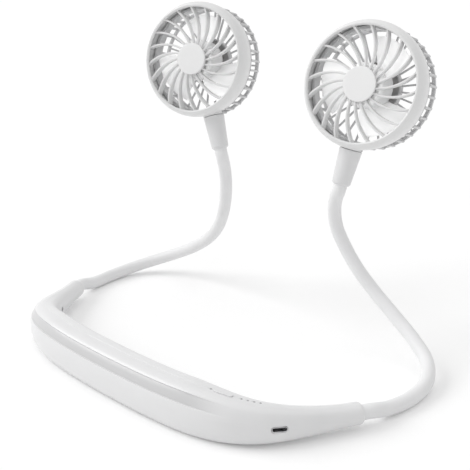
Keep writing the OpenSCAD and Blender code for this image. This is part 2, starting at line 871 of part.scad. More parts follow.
// Turns +Z of what follows down the swivel's axis
module down_swivel(from = 0) {
    translate([0, -from, 0])
        rotate([90, 0, 0])
            children();
}
pin_r = pin_d / 2;
socket_r = hose_r + socket_gap;
barrel_outline = concat(
    [[socket_r, 0]],
    arc([barrel_foot_d / 2 - foot_round, foot_round], foot_round, -70, 0, 5),
    arc([barrel_top_d / 2 - top_round, barrel_l - top_round], top_round, 0, 90, 3),
    [
        [pin_r + bore_gap, barrel_l],
        [pin_r + bore_gap, barrel_l - barrel_web],
        [socket_r, barrel_l - barrel_web]
    ]
);
module barrel(side) {
    color(shell_white)
        on_barrel(side)
            rotate_extrude()
                polygon(barrel_outline);
}
rim_in = opening_r - 0.6;
pin_l = foot_to_head - hose_socket - pin_end - (rim_in + seat_gap);
clip_z = foot_to_head - barrel_l + barrel_web + running_gap;
module swivel_pin(side) {
    color(steel)
        in_head(side)
            down_swivel(rim_in + seat_gap)
                rotate_extrude()
                    polygon([
                        [pin_r - pin_wall, 0],
                        [pin_flange_r, 0],
                        [pin_flange_r, pin_flange_t],
                        [pin_r, pin_flange_t],
                        [pin_r, clip_z - rim_in - seat_gap],
                        [pin_r - clip_groove, clip_z - rim_in - seat_gap],
                        [pin_r - clip_groove, clip_z - rim_in - seat_gap + clip_t],
                        [pin_r, clip_z - rim_in - seat_gap + clip_t],
                        [pin_r, pin_l],
                        [pin_r - pin_wall, pin_l]
                    ]);
}
module swivel_clip(side) {
    color(steel)
        in_head(side)
            down_swivel(clip_z)
                difference() {
                    cylinder(r = clip_r, h = clip_t);
                    translate([0, 0, -overrun])
                        cylinder(r = pin_r - clip_groove, h = clip_t + 2 * overrun);
                    translate([-pin_r / 2, 0, -overrun])
                        cube([pin_r, clip_r + overrun, clip_t + 2 * overrun]);
                }
}

// The front ring's outline in radius and height, from the opening's edge over the lip to the back
ring_back = opening_z - ring_l;
ring_back_r = ring_r - 1.2;
ring_outline = [
    [opening_r, opening_z],
    [opening_r + 0.2 * lip_w, opening_z + 0.75 * lip_h],
    [opening_r + 0.5 * lip_w, opening_z + lip_h],
    [opening_r + 0.85 * lip_w, opening_z + 0.75 * lip_h],
    [opening_r + lip_w, opening_z + 0.75 * lip_h - lip_step],
    [lerp(opening_r + lip_w, ring_r, 0.55), opening_z - 0.11 * ring_l],
    [lerp(opening_r + lip_w, ring_r, 0.86), opening_z - 0.25 * ring_l],
    [ring_r, opening_z - 0.48 * ring_l],
    [lerp(ring_r, ring_back_r, 0.35), opening_z - 0.75 * ring_l],
    [ring_back_r, ring_back],
    [ring_back_r - ring_wall, ring_back],
    [ring_r - 1.15 * ring_wall, opening_z - 0.48 * ring_l],
    [opening_r + lip_w, opening_z - 0.28 * ring_l],
    [opening_r + 0.45 * lip_w, opening_z - 0.13 * ring_l],
    [opening_r, opening_z - lip_h / 2]
];
disc_r = disc_d / 2;
hub_plate_z = opening_z + 0.5;
module swirl_rib() {
    translate([disc_r - rib_arc_r * sin(rib_slant), rib_arc_r * cos(rib_slant), 0])
        rotate(rib_slant - 90 - rib_extra)
            rotate_extrude(angle = rib_turn + 2 * rib_extra)
                translate([rib_arc_r - rib_t / 2, opening_z - ring_l])
                    square([rib_t, ring_l + 2 * lip_h]);
}
// The space that the ribs fill, as a revolved outline
rib_outline = [
    [disc_r - 1.5 * rib_t, hub_plate_z],
    [disc_r, hub_plate_z],
    [opening_r - rib_t, opening_z - 0.3 * lip_h],
    [opening_r + 0.5 * lip_w, opening_z - 0.5 * lip_h],
    [opening_r + lip_w, opening_z - 0.26 * ring_l],
    [opening_r + lip_w, opening_z - rib_ring_h],
    [opening_r - 4 * rib_t, opening_z - rib_ring_h],
    [disc_r, hub_plate_z - rib_hub_h],
    [disc_r - 1.5 * rib_t, hub_plate_z - rib_hub_h]
];
module front_grille(side) {
    color(shell_white)
        in_head(side)
            difference() {
                union() {
                    rotate_extrude()
                        polygon(ring_outline);
                    intersection() {
                        union()
                            for (i = [0:rib_n - 1])
                                rotate(360 * i / rib_n)
                                    swirl_rib();
                        rotate_extrude()
                            polygon(rib_outline);
                    }
                    translate([0, 0, hub_plate_z - hub_plate_t])
                        cylinder(r = disc_r - rib_t / 2, h = hub_plate_t);
                    half_boss(front = true);
                }
                translate([0, 0, hub_plate_z - hub_plate_t - overrun])
                    cylinder(r = peg_r, h = hub_plate_t + 2 * overrun);
                down_swivel(ring_r - 2 * ring_wall)
                    cylinder(r = pin_r, h = 3 * ring_wall);
            }
}
module hub_cap(side) {
    color(disc_grey)
        in_head(side)
            rotate_extrude()
                polygon([
                    [0, hub_plate_z - hub_plate_t],
                    [peg_r, hub_plate_z - hub_plate_t],
                    [peg_r, hub_plate_z],
                    [disc_r, hub_plate_z],
                    [disc_r, hub_plate_z + disc_t - disc_edge],
                    [disc_r - disc_edge, hub_plate_z + disc_t],
                    [0, hub_plate_z + disc_t]
                ]);
}
// The seat of the swivel is half in the front ring and half in the rear cage
module half_boss(front) {
    from = front ? ring_back_r - 0.6 * ring_wall : rim_in;
    intersection() {
        down_swivel(from)
            cylinder(d = boss_d, h = swivel_face - from);
        translate([-boss_d, -ring_r - boss_d, front ? ring_back : ring_back - boss_d - seat_gap])
            cube([2 * boss_d, 2 * boss_d, boss_d]);
    }
}

// The rear cage
rim_out = ring_back_r - ring_wall - seat_gap;
cage_back = ring_back - cage_l;
bar_outer = ring_back_r + bar_step;
flange_front = ring_back - flange_drop;
back_ring_out = bar_outer - back_ring_edge;
back_ring_in = back_ring_out - back_ring_w;
bar_top = flange_front - flange_t / 2;
bar_outline = concat(
    [[bar_outer, bar_top]],
    arc([bar_outer - bar_corner, cage_back + bar_corner], bar_corner, 0, -90, 4),
    [
        [back_ring_in + back_ring_w / 4, cage_back],
        [back_ring_in + back_ring_w / 4, cage_back + floor_t],
        [bar_outer - bar_t, cage_back + floor_t],
        [bar_outer - bar_t, bar_top]
    ]
);
module cage_bar() {
    translate([0, bar_w / 2, 0])
        rotate([90, 0, 0])
            linear_extrude(bar_w)
                polygon(bar_outline);
}
cup_r = cup_d / 2;
tube_in = shaft_d / 2 + bore_gap + sleeve_wall;
tube_out = tube_in + tube_wall;
cup_outline = [
    [0, cage_back],
    [cup_r, cage_back],
    [cup_r, cage_back + cup_l],
    [cup_r - cup_wall, cage_back + cup_l],
    [cup_r - cup_wall, cage_back + cup_back],
    [tube_out, cage_back + cup_back],
    [tube_out, stator_to + cup_back],
    [tube_in, stator_to + cup_back],
    [tube_in, cage_back + cup_back],
    [0, cage_back + cup_back]
];
module rear_cage(side) {
    color(shell_white)
        in_head(side)
            difference() {
                union() {
                    rotate_extrude()
                        translate([rim_in, ring_back + rim_front - rim_l])
                            square([rim_out - rim_in, rim_l]);
                    rotate_extrude()
                        translate([rim_in + bar_step, flange_front - flange_t])
                            square([back_ring_out - rim_in, flange_t]);
                    rotate_extrude()
                        translate([back_ring_in, cage_back + back_ring_inset])
                            square([back_ring_w, floor_t]);
                    rotate_extrude()
                        polygon(cup_outline);
                    for (i = [0:bar_n - 1])
                        rotate(360 * (i + 0.5) / bar_n - 90)
                            cage_bar();
                    for (i = [0:spoke_n - 1])
                        rotate(360 * (i + 0.5) / spoke_n - 90)
                            translate([cup_r - cup_wall / 2, -spoke_w / 2, cage_back + spoke_inset])
                                cube([back_ring_in + back_ring_w / 2 - cup_r + cup_wall / 2, spoke_w, spoke_t]);
                    half_boss(front = false);
                }
                down_swivel(rim_in - overrun)
                    cylinder(r = pin_r, h = boss_d);
                down_swivel(rim_in - boss_d)
                    cylinder(r = pin_flange_r + seat_gap, h = boss_d + seat_gap + pin_flange_t);
            }
}
module bearing_sleeve(side) {
    color(bronze)
        in_head(side)
            rotate_extrude()
                translate([shaft_d / 2 + bore_gap, cage_back + cup_back])
                    square([sleeve_wall, stator_to - cage_back]);
}
magnet_out = hub_d / 2 - hub_wall;
stator_r = magnet_out - magnet_t - stator_gap;
module motor_stator(side) {
    color(dark_steel)
        in_head(side)
            translate([0, 0, stator_from])
                linear_extrude(stator_to - stator_from)
                    difference() {
                        union() {
                            circle(r = tube_out + stator_hub_t);
                            for (i = [0:stator_n - 1])
                                rotate(360 * i / stator_n) {
                                    translate([0, -tooth_w / 2])
                                        square([stator_r - tooth_tip_t / 2, tooth_w]);
                                    tooth_tip();
                                }
                        }
                        circle(r = tube_out);
                    }
}
module tooth_tip() {
    polygon(concat(
        arc([0, 0], stator_r, -tooth_tip_turn / 2, tooth_tip_turn / 2, 6),
        arc([0, 0], stator_r - tooth_tip_t, tooth_tip_turn / 2, -tooth_tip_turn / 2, 6)
    ));
}
module motor_windings(side) {
    from = lerp(tube_out + stator_hub_t, stator_r, coil_root_share);
    to = sqrt(pow(stator_r - tooth_tip_t, 2) - pow(coil_w / 2, 2)) - seat_gap;
    color(copper)
        in_head(side)
            for (i = [0:stator_n - 1])
                rotate(360 * i / stator_n)
                    difference() {
                        translate([from, -coil_w / 2, stator_from - coil_over])
                            cube([to - from, coil_w, stator_to - stator_from + 2 * coil_over]);
                        translate([from - overrun, -tooth_w / 2, stator_from])
                            cube([to - from + 2 * overrun, tooth_w, stator_to - stator_from]);
                        rotate(-180 / stator_n)
                            translate([0, -stator_r - seat_gap / 2, stator_from - 2 * coil_over])
                                cube([stator_r * 2, stator_r, stator_to - stator_from + 4 * coil_over]);
                        rotate(180 / stator_n)
                            translate([0, seat_gap / 2, stator_from - 2 * coil_over])
                                cube([stator_r * 2, stator_r, stator_to - stator_from + 4 * coil_over]);
                    }
}
module rotor_ring(side) {
    color(dark_steel)
        in_head(side)
            rotate_extrude()
                translate([magnet_out - magnet_t, magnet_from])
                    square([magnet_t, magnet_to - magnet_from]);
}
module motor_shaft(side) {
    back = cage_back + cup_back + shaft_back_gap;
    color(steel)
        in_head(side)
            translate([0, 0, back])
                cylinder(d = shaft_d, h = shaft_front - back);
}

// The impeller's blades rise through their chord and twist less towards the tip
hub_r = hub_d / 2;
function blade_point(row, step, lift) =
    let (
        out = row / blade_rows,
        c = 2 * step / blade_steps - 1,
        r = lerp(hub_r - hub_wall / 2, blade_d / 2, out),
        turn = blade_chord / 2 * c * (0.9 + 0.2 * out - 0.16 * out * out) + blade_sweep * out,
        z = blade_mid - c * lerp(blade_hub_h, blade_tip_h, out) + blade_camber * (1 - c * c) * (0.4 + 0.6 * out)
    )
    [r * cos(turn), r * sin(turn), z + lift * blade_t / 2];
module blade() {
    n = blade_steps + 1;
    rows = blade_rows + 1;
    m = 2 * n;
    last = (rows - 1) * m;
    polyhedron(
        [
            for (i = [0:blade_rows])
                each concat(
                    [for (j = [0:blade_steps]) blade_point(i, j, 1)],
                    [for (j = [blade_steps:-1:0]) blade_point(i, j, -1)]
                )
        ],
        [
            for (i = [0:rows - 2], j = [0:m - 1])
                let (a = i * m + j, b = i * m + (j + 1) % m, c = a + m, d = b + m)
                each [[a, b, d], [a, d, c]],
            for (j = [0:n - 2]) each [[j, m - 1 - j, j + 1], [m - 1 - j, m - 2 - j, j + 1]],
            for (j = [0:n - 2])
                each [[last + j, last + j + 1, last + m - 1 - j], [last + m - 1 - j, last + j + 1, last + m - 2 - j]]
        ]
    );
}
module impeller(side) {
    color(shell_white)
        in_head(side) {
            rotate_extrude()
                polygon([
                    [shaft_d / 2, hub_front - hub_wall - boss_l],
                    [boss_r, hub_front - hub_wall - boss_l],
                    [boss_r, hub_front - hub_wall],
                    [hub_r - hub_wall, hub_front - hub_wall],
                    [hub_r - hub_wall, hub_back],
                    [hub_r, hub_back],
                    [hub_r, hub_front - hub_wall],
                    [hub_r - hub_wall, hub_front],
                    [0, hub_front],
                    [0, shaft_front],
                    [shaft_d / 2, shaft_front]
                ]);
            for (i = [0:blade_n - 1])
                rotate(blade_phase + 360 * i / blade_n)
                    blade();
        }
}

// Everything is drawn from the plane of the collar's ends and then moved back to the origin
module at_origin() {
    translate([0, end_plane_y, 0])
        children();
}
at_origin() collar_outer_shell();
at_origin() collar_inner_shell();
at_origin() collar_screws();
at_origin() battery_cells();
at_origin() battery_leads();
at_origin() control_board();
at_origin() charging_board();
at_origin() board_screws();
at_origin() usb_socket_shell();
at_origin() usb_socket_tongue();
at_origin() tactile_switch();
at_origin() power_button();
at_origin() status_lights();
at_origin() indicator_lenses();
at_origin() core_anchors();
for (side = [1, -1]) {
    name = side > 0 ? "right_" : "left_";
    at_origin() hose(side, root_i, lower_bend_i);
    at_origin() hose(side, lower_bend_i, middle_i);
    at_origin() hose(side, middle_i, upper_bend_i);
    at_origin() hose(side, upper_bend_i, top_i);
    at_origin() hose(side, top_i, hose_end_i);
    at_origin() core(side, 0, lower_bend_i);
    at_origin() core(side, lower_bend_i, middle_i);
    at_origin() core(side, middle_i, upper_bend_i);
    at_origin() core(side, upper_bend_i, top_i);
    at_origin() core(side, top_i, core_end_i);
    at_origin() barrel(side);
    at_origin() swivel_pin(side);
    at_origin() swivel_clip(side);
    at_origin() front_grille(side);
    at_origin() hub_cap(side);
    at_origin() rear_cage(side);
    at_origin() bearing_sleeve(side);
    at_origin() motor_stator(side);
    at_origin() motor_windings(side);
    at_origin() rotor_ring(side);
    at_origin() motor_shaft(side);
    at_origin() impeller(side);
}
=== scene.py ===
# %% [markdown]
# # A neck fan in white plastic and silicone
# A U-shaped collar holds the battery and the charging board. From each end a silicone hose with a bendable
# metal core rises to a tapered barrel, and on each barrel turns a small caged fan.
# The construction model gives the frame: every piece that is modelled here takes its place and its sizes
# from the same named values, in millimetres, and is turned into metres only where its mesh is made.

# %% The frame
import bpy
import numpy as np
from mathutils import Matrix, Vector


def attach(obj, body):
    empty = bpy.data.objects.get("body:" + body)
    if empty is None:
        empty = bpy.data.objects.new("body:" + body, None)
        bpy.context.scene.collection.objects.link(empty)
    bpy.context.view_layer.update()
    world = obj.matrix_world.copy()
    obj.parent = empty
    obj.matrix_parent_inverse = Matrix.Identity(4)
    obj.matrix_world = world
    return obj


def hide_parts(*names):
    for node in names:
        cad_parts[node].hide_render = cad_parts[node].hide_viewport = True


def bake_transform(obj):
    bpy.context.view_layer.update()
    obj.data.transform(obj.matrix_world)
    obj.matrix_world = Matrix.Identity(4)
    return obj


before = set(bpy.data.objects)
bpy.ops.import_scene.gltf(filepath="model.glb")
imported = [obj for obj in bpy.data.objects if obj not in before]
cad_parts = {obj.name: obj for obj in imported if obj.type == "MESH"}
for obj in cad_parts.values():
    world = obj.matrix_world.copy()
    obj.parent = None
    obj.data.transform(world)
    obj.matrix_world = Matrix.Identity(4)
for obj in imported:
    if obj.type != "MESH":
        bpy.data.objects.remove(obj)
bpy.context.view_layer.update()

MM = 0.001
END_PLANE_Y = -20.37
SIDES = {"right": 1, "left": -1}

# %% [markdown]
# ## The camera
# The photograph looks down over the right end of the collar. Its place was found by matching the two
# front rings, which are circles, and the widths of the hose. Place, direction and lens are enough for that,
# and a camera that is made first shows every later step from the right side.

# %% The camera
CAMERA_AT = (360.3, -370.97, 263.4)
CAMERA_RIGHT = Vector((0.73224, 0.68104, 0.0))
CAMERA_UP = Vector((-0.22950, 0.24675, 0.94151))
LENS = 64.34
SENSOR = 36.0
CLIP_START, CLIP_END = 0.01, 50.0


def add_object(name, data):
    """A new object in the scene."""
    added = bpy.data.objects.new(name, data)
    bpy.context.scene.collection.objects.link(added)
    return added


def make_camera():
    """A camera whose columns are its right, its up and the way back to it."""
    camera = add_object("camera", bpy.data.cameras.new("camera"))
    camera.data.lens, camera.data.sensor_width = LENS, SENSOR
    camera.data.clip_start, camera.data.clip_end = CLIP_START, CLIP_END
    columns = Matrix((CAMERA_RIGHT, CAMERA_UP, CAMERA_RIGHT.cross(CAMERA_UP))).transposed()
    camera.matrix_world = Matrix.Translation(Vector(CAMERA_AT) * MM) @ columns.to_4x4()
    bpy.context.scene.camera = camera
    return camera


print("camera at", [round(v, 3) for v in make_camera().location])

# %% [markdown]
# ## Surfaces from numbers
# Most pieces of this fan are one of three kinds of surface: a profile turned round an axis, a profile
# carried along a path, or a skin over a grid of sections. All three are a grid of points whose neighbours
# are joined by four-sided faces, so one function numbers the faces for all of them. A form here is its
# points and its blocks of faces, and it stays a pair of arrays until it becomes a mesh.

# %% Grids of points
def unit(v):
    """Each row divided by its own length."""
    return v / np.linalg.norm(v, axis=-1, keepdims=True)


def smooth_step(t):
    """Zero below 0, one above 1, and 3t squared less 2t cubed in between."""
    t = np.clip(t, 0, 1)
    return t * t * (3 - 2 * t)


def grid_faces(rows, columns, wrap_rows=False, wrap_columns=True):
    """Four-sided faces between the neighbours of a grid that is numbered row by row."""
    r = np.arange(rows if wrap_rows else rows - 1)[:, None]
    c = np.arange(columns if wrap_columns else columns - 1)[None, :]
    r2, c2 = (r + 1) % rows, (c + 1) % columns
    corners = (r * columns + c, r * columns + c2, r2 * columns + c2, r2 * columns + c)
    return np.stack(corners, -1).reshape(-1, 4)


def together(forms):
    """Several forms as one: each block of faces is counted on from the points before it."""
    starts = np.cumsum([0] + [len(points) for points, _ in forms])
    blocks = [block + start for (_, faces), start in zip(forms, starts) for block in faces]
    return np.vstack([points for points, _ in forms]), blocks


print("faces between 3 closed rounds of 4 points:", len(grid_faces(3, 4)))

# %% Turning about an axis
X_AXIS, Y_AXIS, Z_AXIS = 0, 1, 2


def turn(axis, a):
    """The matrix of a turn by an angle in degrees about an axis."""
    c, s = np.cos(np.radians(a)), np.sin(np.radians(a))
    first, second = (axis + 1) % 3, (axis + 2) % 3
    matrix = np.eye(3)
    matrix[first, first] = matrix[second, second] = c
    matrix[first, second], matrix[second, first] = -s, s
    return matrix


def copies(form, turns):
    """A form turned about Z by each angle, in degrees."""
    points, faces = form
    return together([(points @ turn(Z_AXIS, a).T, faces) for a in turns])


print("a quarter turn about Z takes X to", turn(Z_AXIS, 90)[:, 0].round(3))

# %% Profiles turned about an axis
# The share of an edge that a rounded corner may take.
CORNER_MOST = 0.45


def softened(profile, r, steps=4):
    """A closed outline whose corners are rounded: each is cut back by r along both of its edges, at most by
    nearly half an edge, and a parabola joins the two ends."""
    p = np.asarray(profile, float)
    before, after = np.roll(p, 1, 0) - p, np.roll(p, -1, 0) - p
    cut = [np.minimum(r, np.linalg.norm(e, axis=1) * CORNER_MOST)[:, None] for e in (before, after)]
    a, b = p + unit(before) * cut[0], p + unit(after) * cut[1]
    t = np.linspace(0, 1, steps + 1)[None, :, None]
    return ((1 - t) ** 2 * a[:, None] + 2 * t * (1 - t) * p[:, None] + t * t * b[:, None]).reshape(-1, 2)


def turned(profile, steps):
    """A closed outline of radius and height, turned about Z."""
    p = np.asarray(profile, float)
    angle = np.radians(np.linspace(0, 360, steps, endpoint=False))[:, None]
    points = np.stack([np.cos(angle) * p[:, 0], np.sin(angle) * p[:, 0], 0 * angle + p[:, 1]], -1)
    return points.reshape(-1, 3), [grid_faces(steps, len(p), wrap_rows=True)]


def domed(profile, steps):
    """An open outline of radius and height that starts and ends on the axis, turned about Z. Its ends are
    single points, each joined to its first ring by a fan of triangles."""
    p = np.asarray(profile, float)
    points, _ = turned(p[1:-1], steps)
    rings = len(p) - 2
    k = np.arange(steps) * rings
    k2, low = np.roll(k, -1), 0 * k + len(points)
    fans = [np.stack([k, k2, low], -1), np.stack([k2 + rings - 1, k + rings - 1, low + 1], -1)]
    poles = np.array([[0, 0, p[0, 1]], [0, 0, p[-1, 1]]])
    return np.vstack([points, poles]), [grid_faces(steps, rings, wrap_rows=True, wrap_columns=False)] + fans


def rod(r, low, high, steps):
    """A plain round bar along Z."""
    return domed([[0, low], [r, low], [r, high], [0, high]], steps)


print("points in a rod of 12 sides:", len(rod(1, 0, 2, steps=12)[0]))


# %% Profiles carried along a line
def stacked(rounds):
    """Rounds of points, each joined to the next one, with a face over both ends."""
    n, m = rounds.shape[:2]
    ends = [np.arange(m)[None, ::-1], (np.arange(m) + (n - 1) * m)[None, :]]
    return rounds.reshape(-1, 3), [grid_faces(n, m)] + ends


def carried(profile, line, across, up):
    """A closed profile carried along a line: each of its points goes out along two directions, which are
    given once or for each place of the line. Both ends are closed."""
    p = np.asarray(profile, float)
    across, up = (np.broadcast_to(np.asarray(way, float), line.shape)[:, None] for way in (across, up))
    return stacked(line[:, None] + p[..., :1] * across + p[..., 1:] * up)


square = [[0, 0], [1, 0], [1, 1], [0, 1]]
print("points in a square bar over 3 places:", len(carried(square, np.eye(3), [1, 0, 0], [0, 1, 0])[0]))


# %% Smooth lines
def bezier(p, t):
    """The point of a cubic Bezier curve at each t, and its direction there."""
    p, t = np.asarray(p, float), np.asarray(t, float)[:, None]
    point = (1 - t) ** 3 * p[0] + 3 * (1 - t) ** 2 * t * p[1] + 3 * (1 - t) * t * t * p[2] + t**3 * p[3]
    run = (1 - t) ** 2 * (p[1] - p[0]) + 2 * (1 - t) * t * (p[2] - p[1]) + t * t * (p[3] - p[2])
    return point, unit(run)


def smooth_line(route, spacing):
    """A smooth line through the points of a route, its direction at each place, and where each route point
    lies on it. Between two points it is a Bezier curve whose handles are a third of their distance, and at a
    point its direction leans to the nearer neighbour."""
    route = np.asarray(route, float)
    legs = np.diff(route, axis=0)
    lengths = np.linalg.norm(legs, axis=1, keepdims=True)
    ways = legs / lengths
    inner = unit(ways[:-1] * lengths[1:] + ways[1:] * lengths[:-1])
    turns = np.vstack([ways[:1], inner, ways[-1:]])
    counts = np.maximum(1, np.ceil(lengths[:, 0] / spacing)).astype(int)
    places, runs = [], []
    for i, n in enumerate(counts):
        reach = lengths[i] / 3
        handles = [route[i], route[i] + reach * turns[i], route[i + 1] - reach * turns[i + 1], route[i + 1]]
        point, run = bezier(handles, np.arange(n) / n)
        places.append(point)
        runs.append(run)
    marks = np.concatenate([[0], np.cumsum(counts)])
    return np.vstack(places + [route[-1:]]), np.vstack(runs + [turns[-1:]]), marks


print("halfway along an arch:", bezier([[0, 0], [0, 1], [1, 1], [1, 0]], [0.5])[0][0])

# %% [markdown]
# ## From a form to a piece
# A mesh must face outwards, or walls and light go wrong. The signed volume of a closed mesh, the sum of
# the small pyramids from the origin to each face, is negative when it is inside out, so it tells which way
# round to write the faces. Crisp edges between smooth faces are marked by their angle.

# %% Making a piece
def signed_volume(points, faces):
    """The sum over all triangles of a face's fan of its corners' triple product, divided by six."""
    total = 0.0
    for block in faces:
        a = points[block[:, 0]]
        for k in range(1, block.shape[1] - 1):
            b, c = points[block[:, k]], points[block[:, k + 1]]
            total += np.einsum("ij,ij->", a, np.cross(b, c))
    return total / 6


def make_mesh(name, form):
    """A mesh in metres from a form in millimetres, its faces outwards."""
    points, faces = form
    if signed_volume(points, faces) < 0:
        faces = [block[:, ::-1] for block in faces]
    mesh = bpy.data.meshes.new(name)
    mesh.from_pydata((points * MM).tolist(), [], [f for block in faces for f in block.tolist()])
    mesh.validate()
    return mesh


def make_piece(name, form, finish, slot, body, replaces, crease=35):
    """A shown piece of the fan: its mesh, its finish, the body that it rides on and the nodes that it stands
    for. An edge stays crisp where its faces turn by more than the crease, in degrees."""
    piece = add_object(name, form if isinstance(form, bpy.types.Mesh) else make_mesh(name, form))
    piece.data.materials.clear()
    piece.data.materials.append(finishes[finish])
    piece.data.polygons.foreach_set("use_smooth", np.ones(len(piece.data.polygons), bool))
    piece.data.set_sharp_from_angle(angle=np.radians(crease))
    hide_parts(*replaces)
    if body:
        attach(piece, body)
    return piece


def make_both(place, *rows):
    """Pieces that both sides have. A row has a piece's name, form, finish and slot, the body that it rides
    on, the node that it stands for and, where it has its own, its crease."""
    for side in SIDES:
        for kind, form, finish, slot, body, node, *crease in rows:
            there = place(form, side)
            make_piece(f"{side}_{kind}", there, finish, slot, f"{side}_{body}", [f"{side}_{node}"], *crease)


print("volume of a square rod, r 1 and 1 long:", round(abs(signed_volume(*rod(1, 0, 1, steps=4))), 3))

# %% [markdown]
# ## The finishes
# Moulded plastic isn't one flat colour: it has a very fine grain from the tool, and its gloss wanders a
# little where the melt cooled unevenly. Each finish below is the standard surface shader with two patterns of
# noise on the piece's own coordinates, a fine one that only lifts the surface and a broad one that moves
# colour and roughness by a few hundredths. All the finishes differ only in numbers, so one function makes
# them, and the numbers stand in a table.

# %% Shader helpers
RAMP_START, RAMP_END = 0.3, 0.7
BUMP_STRENGTH = 0.5
BROAD_NOISE, ROUGHNESS_SPREAD = 14.0, 0.03


def give(node, **sockets):
    """Gives a node's sockets another node's output or a plain value. An underscore stands for a space."""
    for name, value in sockets.items():
        socket = node.inputs[name.replace("_", " ")]
        if isinstance(value, bpy.types.NodeSocket):
            node.id_data.links.new(value, socket)
        else:
            socket.default_value = value
    return node


def add_node(tree, kind, **sockets):
    """A new shader node of one kind, with its sockets given."""
    return give(tree.nodes.new("ShaderNode" + kind), **sockets)


def new_material(name):
    """A material with nothing in its node tree but its surface shader and its output."""
    material = bpy.data.materials.new(name)
    material.use_nodes = True
    tree = material.node_tree
    tree.nodes.clear()
    shader = add_node(tree, "BsdfPrincipled")
    add_node(tree, "OutputMaterial", Surface=shader.outputs["BSDF"])
    return material, tree, shader


def add_place(tree):
    """Object coordinates, which are metres in the shared frame."""
    return add_node(tree, "TexCoord").outputs["Object"]


def add_noise(tree, size, detail=3.0):
    """Noise whose features are about this many millimetres across."""
    noise = add_node(tree, "TexNoise", Vector=add_place(tree), Scale=1 / (size * MM), Detail=detail)
    return noise.outputs["Fac"]


def add_range(tree, value, low, high):
    """A value from 0 to 1 spread between two numbers."""
    return add_node(tree, "MapRange", Value=value, To_Min=low, To_Max=high).outputs["Result"]


def add_mix(tree, value, dark, light):
    """A colour between two, by a value from 0 to 1."""
    ramp = add_node(tree, "ValToRGB", Fac=value)
    first, last = ramp.color_ramp.elements
    first.color, last.color = dark, light
    first.position, last.position = RAMP_START, RAMP_END
    return ramp.outputs["Color"]


def add_bump(tree, shader, height, depth):
    """Lifts the surface by a height from 0 to 1, times a depth in millimetres."""
    bump = add_node(tree, "Bump", Height=height, Strength=BUMP_STRENGTH, Distance=depth * MM)
    give(shader, Normal=bump.outputs["Normal"])


print("a ramp runs over the middle of its noise, from", RAMP_START, "to", RAMP_END)


# %% A moulded finish
def add_band(tree, shader, attribute, colour):
    """Another colour wherever an attribute of the mesh grows from nothing to one."""
    where = add_node(tree, "Attribute")
    where.attribute_name = attribute
    under = shader.inputs["Base Color"].links[0].from_socket
    mix = add_node(tree, "MixRGB", Fac=where.outputs["Fac"], Color1=under, Color2=colour)
    give(shader, Base_Color=mix.outputs["Color"])


def shade(colour, by):
    """A colour made lighter or darker by a share of itself."""
    return tuple(min(1.0, c * (1 + by)) for c in colour) + (1.0,)


def moulded(name, colour, roughness, grain, depth, metal=0.0, vary=0.012, band=None, **sockets):
    """A moulded, drawn or cast finish: a broad noise moves colour and roughness, and a fine one lifts the
    surface. A band is the name of an attribute and the colour that the surface has where it is one."""
    material, tree, shader = new_material(name)
    broad = add_noise(tree, BROAD_NOISE)
    colours = add_mix(tree, broad, shade(colour, -vary), shade(colour, vary))
    rough = add_range(tree, broad, roughness - ROUGHNESS_SPREAD, roughness + ROUGHNESS_SPREAD)
    give(shader, Base_Color=colours, Roughness=rough, Metallic=metal, **sockets)
    if band:
        add_band(tree, shader, *band)
    add_bump(tree, shader, add_noise(tree, grain, detail=2.0), depth)
    return material


print("a middle grey, a tenth lighter:", shade((0.5, 0.5, 0.5), by=0.1))

# %% The finishes
# Painted shade: the groove's floor takes a darker grey than the shell, for the shade that lies along it.
GROOVE_PAINTED_SHADE = ("groove", (0.62, 0.62, 0.625, 1))
# Name: colour, roughness, the grain's size and depth in millimetres, and what else sets it apart.
FINISHES = {
    "shell plastic": ((0.80, 0.80, 0.805), 0.34, 0.35, 0.004, dict(band=GROOVE_PAINTED_SHADE, Coat_Weight=0.15)),
    "fan plastic": ((0.79, 0.79, 0.79), 0.32, 0.35, 0.004, {}),
    # Painted shade: the cage is the same white plastic, made darker for the shade inside the head.
    "cage plastic": ((0.64, 0.64, 0.645), 0.36, 0.35, 0.004, {}),
    # Partly painted light: the blades are the same white plastic, made lighter than it for the light on them.
    "blade plastic": ((0.93, 0.93, 0.93), 0.3, 0.35, 0.003, dict(vary=0.006)),
    "tongue plastic": ((0.32, 0.32, 0.33), 0.4, 0.1, 0.003, {}),
    "barrel plastic": ((0.76, 0.76, 0.765), 0.30, 0.3, 0.003, dict(Coat_Weight=0.2)),
    "disc plastic": ((0.87, 0.87, 0.87), 0.5, 0.25, 0.006, {}),
    "silicone": ((0.85, 0.85, 0.855), 0.48, 0.12, 0.006, dict(vary=0.02, Specular_IOR_Level=0.3)),
    "bright steel": ((0.62, 0.62, 0.63), 0.28, 0.2, 0.003, dict(metal=1.0, vary=0.05)),
    "core steel": ((0.34, 0.35, 0.36), 0.45, 0.15, 0.01, dict(metal=1.0, vary=0.1)),
    "magnet steel": ((0.16, 0.16, 0.17), 0.42, 0.1, 0.006, dict(metal=1.0, vary=0.1)),
    "bearing bronze": ((0.52, 0.34, 0.16), 0.4, 0.1, 0.01, dict(metal=1.0, vary=0.12)),
    "cell wrap": ((0.10, 0.20, 0.40), 0.35, 0.8, 0.02, dict(vary=0.06, Coat_Weight=0.3)),
    "black plastic": ((0.012, 0.012, 0.013), 0.45, 0.1, 0.004, dict(vary=0.2)),
    "lead sleeve": ((0.45, 0.02, 0.02), 0.4, 0.2, 0.005, dict(vary=0.1)),
    "light chip": ((0.75, 0.70, 0.45), 0.3, 0.1, 0.004, dict(vary=0.1)),
    "light guide": ((0.42, 0.42, 0.43), 0.25, 0.3, 0.002, dict(vary=0.05)),
}
finishes = {name: moulded(name, *row, **more) for name, (*row, more) in FINISHES.items()}
print(len(finishes), "plain finishes made")

